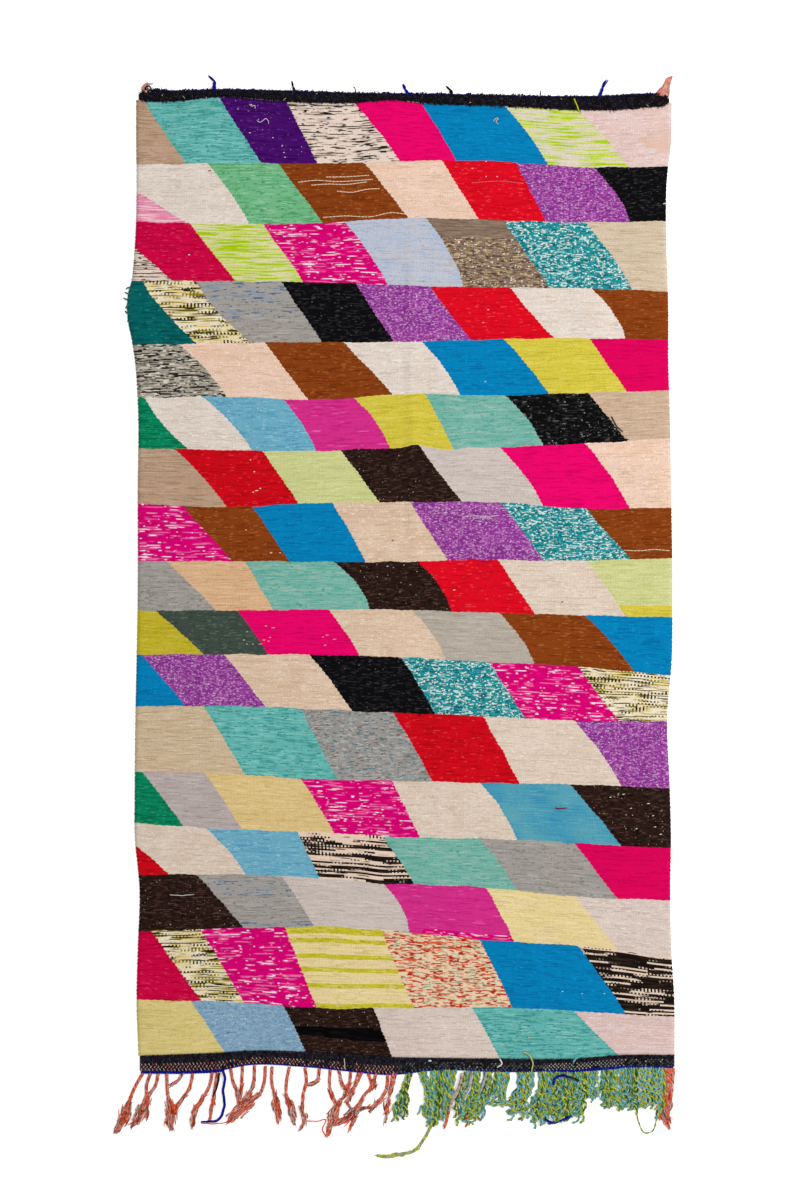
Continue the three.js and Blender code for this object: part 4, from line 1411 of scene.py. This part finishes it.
def loose_threads(materials):
    """Loose threads on the weave and the fringe, odd wefts, and short slubs that stand out of the weave."""
    threads = []
    for yarn, radius, points in LOOSE_THREADS:
        route, share, reach = resampled(points, LOOSE_STEP)
        wave = LOOSE_WAVE * np.sin(2 * math.pi * reach / LOOSE_WAVE_LENGTH)
        route[:, :2] += sideways(route) * wave[:, None]
        threads.append((route, radius * (1 - LOOSE_TAPER * ramp(share, LOOSE_TIP)), yarn))
    for yarn, points in ODD_LINES:
        route, _, reach = resampled(points, BEAD_WIDTH / 2)
        lift = FIELD_THICKNESS - ODD_LINE_SINK + ODD_LINE_DIP * np.cos(math.pi * reach / BEAD_WIDTH)
        threads.append((np.column_stack([route, lift]), ODD_LINE_RADIUS * np.ones(len(route)), yarn))
    for yarn, slubs in SLUBS.items():
        for across, along, length in slubs:
            places = across + SLUB_STATIONS * length / 2
            lift = FIELD_THICKNESS + SLUB_LIFT + SLUB_RADIUS * (1 - SLUB_STATIONS ** 2)
            points = np.stack([places, along + SLUB_LEAN * SLUB_STATIONS, lift], axis=1)
            threads.append((points, SLUB_RADIUS * (1 - SLUB_TAPER * SLUB_STATIONS ** 2), yarn))
    return thread_mesh("loose_threads", threads, materials, sides=6)


def yarn_set(recipes):
    return {name: yarn_material(name, recipe) for name, recipe in recipes.items()}


field_yarns = yarn_set(YARNS)
band_yarns = yarn_set(BAND_YARNS)
coral_yarns = yarn_set(CORAL_YARNS)
green_yarns = yarn_set(GREEN_YARNS)
thread_yarns = yarn_set(THREAD_YARNS)
fringe_yarns = {**band_yarns, **coral_yarns, **green_yarns, **thread_yarns}

field = woven_field(field_yarns)
top_ground = band_ground(
    "top_band_ground", top_low, top_high, TOP_LEFT, TOP_RIGHT, band_yarns["black_twine"])
top_twining = twined_stitches(
    "top_band_twining", top_low, top_high, TOP_LEFT, TOP_RIGHT, top_stitch_yarn, STRAY_STITCH, band_yarns,
    seed=16)
fuzz = top_fuzz({name: fringe_yarns[name] for name in FUZZ_YARNS}, seed=3)
top_cord = edge_cord(
    "top_edge_cord", top_cord_line, TOP_CORD_ENDS, TOP_CORD_RADII, "indigo_twine",
    {"indigo_twine": band_yarns["indigo_twine"]})
bottom_ground = band_ground(
    "bottom_band_ground", above_cord, bottom_high, FRINGE_LEFT, FRINGE_RIGHT, band_yarns["navy_twine"])
bottom_twining = twined_stitches(
    "bottom_band_twining", above_cord, bottom_high, FRINGE_LEFT, FRINGE_RIGHT, bottom_stitch_yarn,
    STRAY_STITCH / 2, fringe_yarns, seed=19)
cord = edge_cord(
    "edge_cord", cord_line, CORD_ENDS, CORD_RADII, "royal_blue_twine",
    {"royal_blue_twine": band_yarns["royal_blue_twine"]})
coral = coral_fringe("coral_fringe_yarn", CORAL_STRANDS, coral_yarns, seed=11)
green = green_fringe(green_yarns, seed=23)
corner = coral_fringe("corner_fringe_yarn", CORNER_STRANDS, coral_yarns, seed=5)
ends = top_ends(fringe_yarns, seed=7)
loose = loose_threads(fringe_yarns)

slots = {
    "field_yarn": [field, loose],
    "black_twine": [top_ground, top_twining, fuzz, top_cord, ends],
    "navy_twine": [bottom_ground, bottom_twining, cord],
    "coral_yarn": [coral, corner],
    "green_yarn": [green],
}
for slot, pieces in slots.items():
    for piece in pieces:
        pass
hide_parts("woven_field")
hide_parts("top_band")
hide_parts("bottom_band")
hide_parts("coral_fringe")
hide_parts("green_fringe")
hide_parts("corner_fringe")
laid_with = [piece for pieces in slots.values() for piece in pieces if piece is not field]


# Matt white studio paper: it glows a little, so that soft shadows fade into white at the fringe
def studio_floor(scene):
    paper = bpy.data.materials.new("white_studio_floor")
    paper.use_nodes = True
    surface = paper.node_tree.nodes["Principled BSDF"]
    surface.inputs["Base Color"].default_value = (FLOOR_WHITE, FLOOR_WHITE, FLOOR_WHITE, 1)
    surface.inputs["Emission Color"].default_value = (1, 1, 1, 1)
    surface.inputs["Emission Strength"].default_value = FLOOR_GLOW
    surface.inputs["Roughness"].default_value = FLOOR_ROUGHNESS
    surface.inputs["Specular IOR Level"].default_value = 0.0
    bm = bmesh.new()
    bmesh.ops.create_grid(bm, x_segments=1, y_segments=1, size=FLOOR_SIZE / 2)
    mesh = mesh_of(bm, "studio_floor")
    mesh.materials.append(paper)
    floor = bpy.data.objects.new("studio_floor", mesh)
    scene.collection.objects.link(floor)


def studio_light(scene):
    """Even light from all round, and one soft lamp on the right."""
    world = bpy.data.worlds.new("studio_light")
    world.use_nodes = True
    background = world.node_tree.nodes["Background"]
    background.inputs["Color"].default_value = (1, 1, 1, 1)
    background.inputs["Strength"].default_value = ROOM_LIGHT
    scene.world = world
    lamp_data = bpy.data.lights.new("soft_lamp", "AREA")
    lamp_data.shape = "DISK"
    lamp_data.size = LAMP_SIZE
    lamp_data.energy = LAMP_POWER
    lamp = bpy.data.objects.new("soft_lamp", lamp_data)
    lamp.location = on_rug(*LAMP_PLACE)
    lamp.rotation_euler = (on_rug(*VIEW_MIDDLE, 0) - lamp.location).to_track_quat("-Z", "Y").to_euler()
    scene.collection.objects.link(lamp)


def studio_camera(scene):
    """The camera, straight above the rug."""
    camera_data = bpy.data.cameras.new("camera")
    camera_data.sensor_fit = "AUTO"
    camera_data.sensor_width = SENSOR_WIDTH
    camera_data.lens = camera_data.sensor_width * CAMERA_HEIGHT / VIEW_LENGTH
    camera_data.clip_end = VIEW_DEPTH
    camera = bpy.data.objects.new("camera", camera_data)
    camera.location = on_rug(*VIEW_MIDDLE, CAMERA_HEIGHT)
    scene.collection.objects.link(camera)
    scene.camera = camera


scene = bpy.context.scene
scene.view_settings.view_transform = "Standard"
studio_floor(scene)
studio_light(scene)
studio_camera(scene)
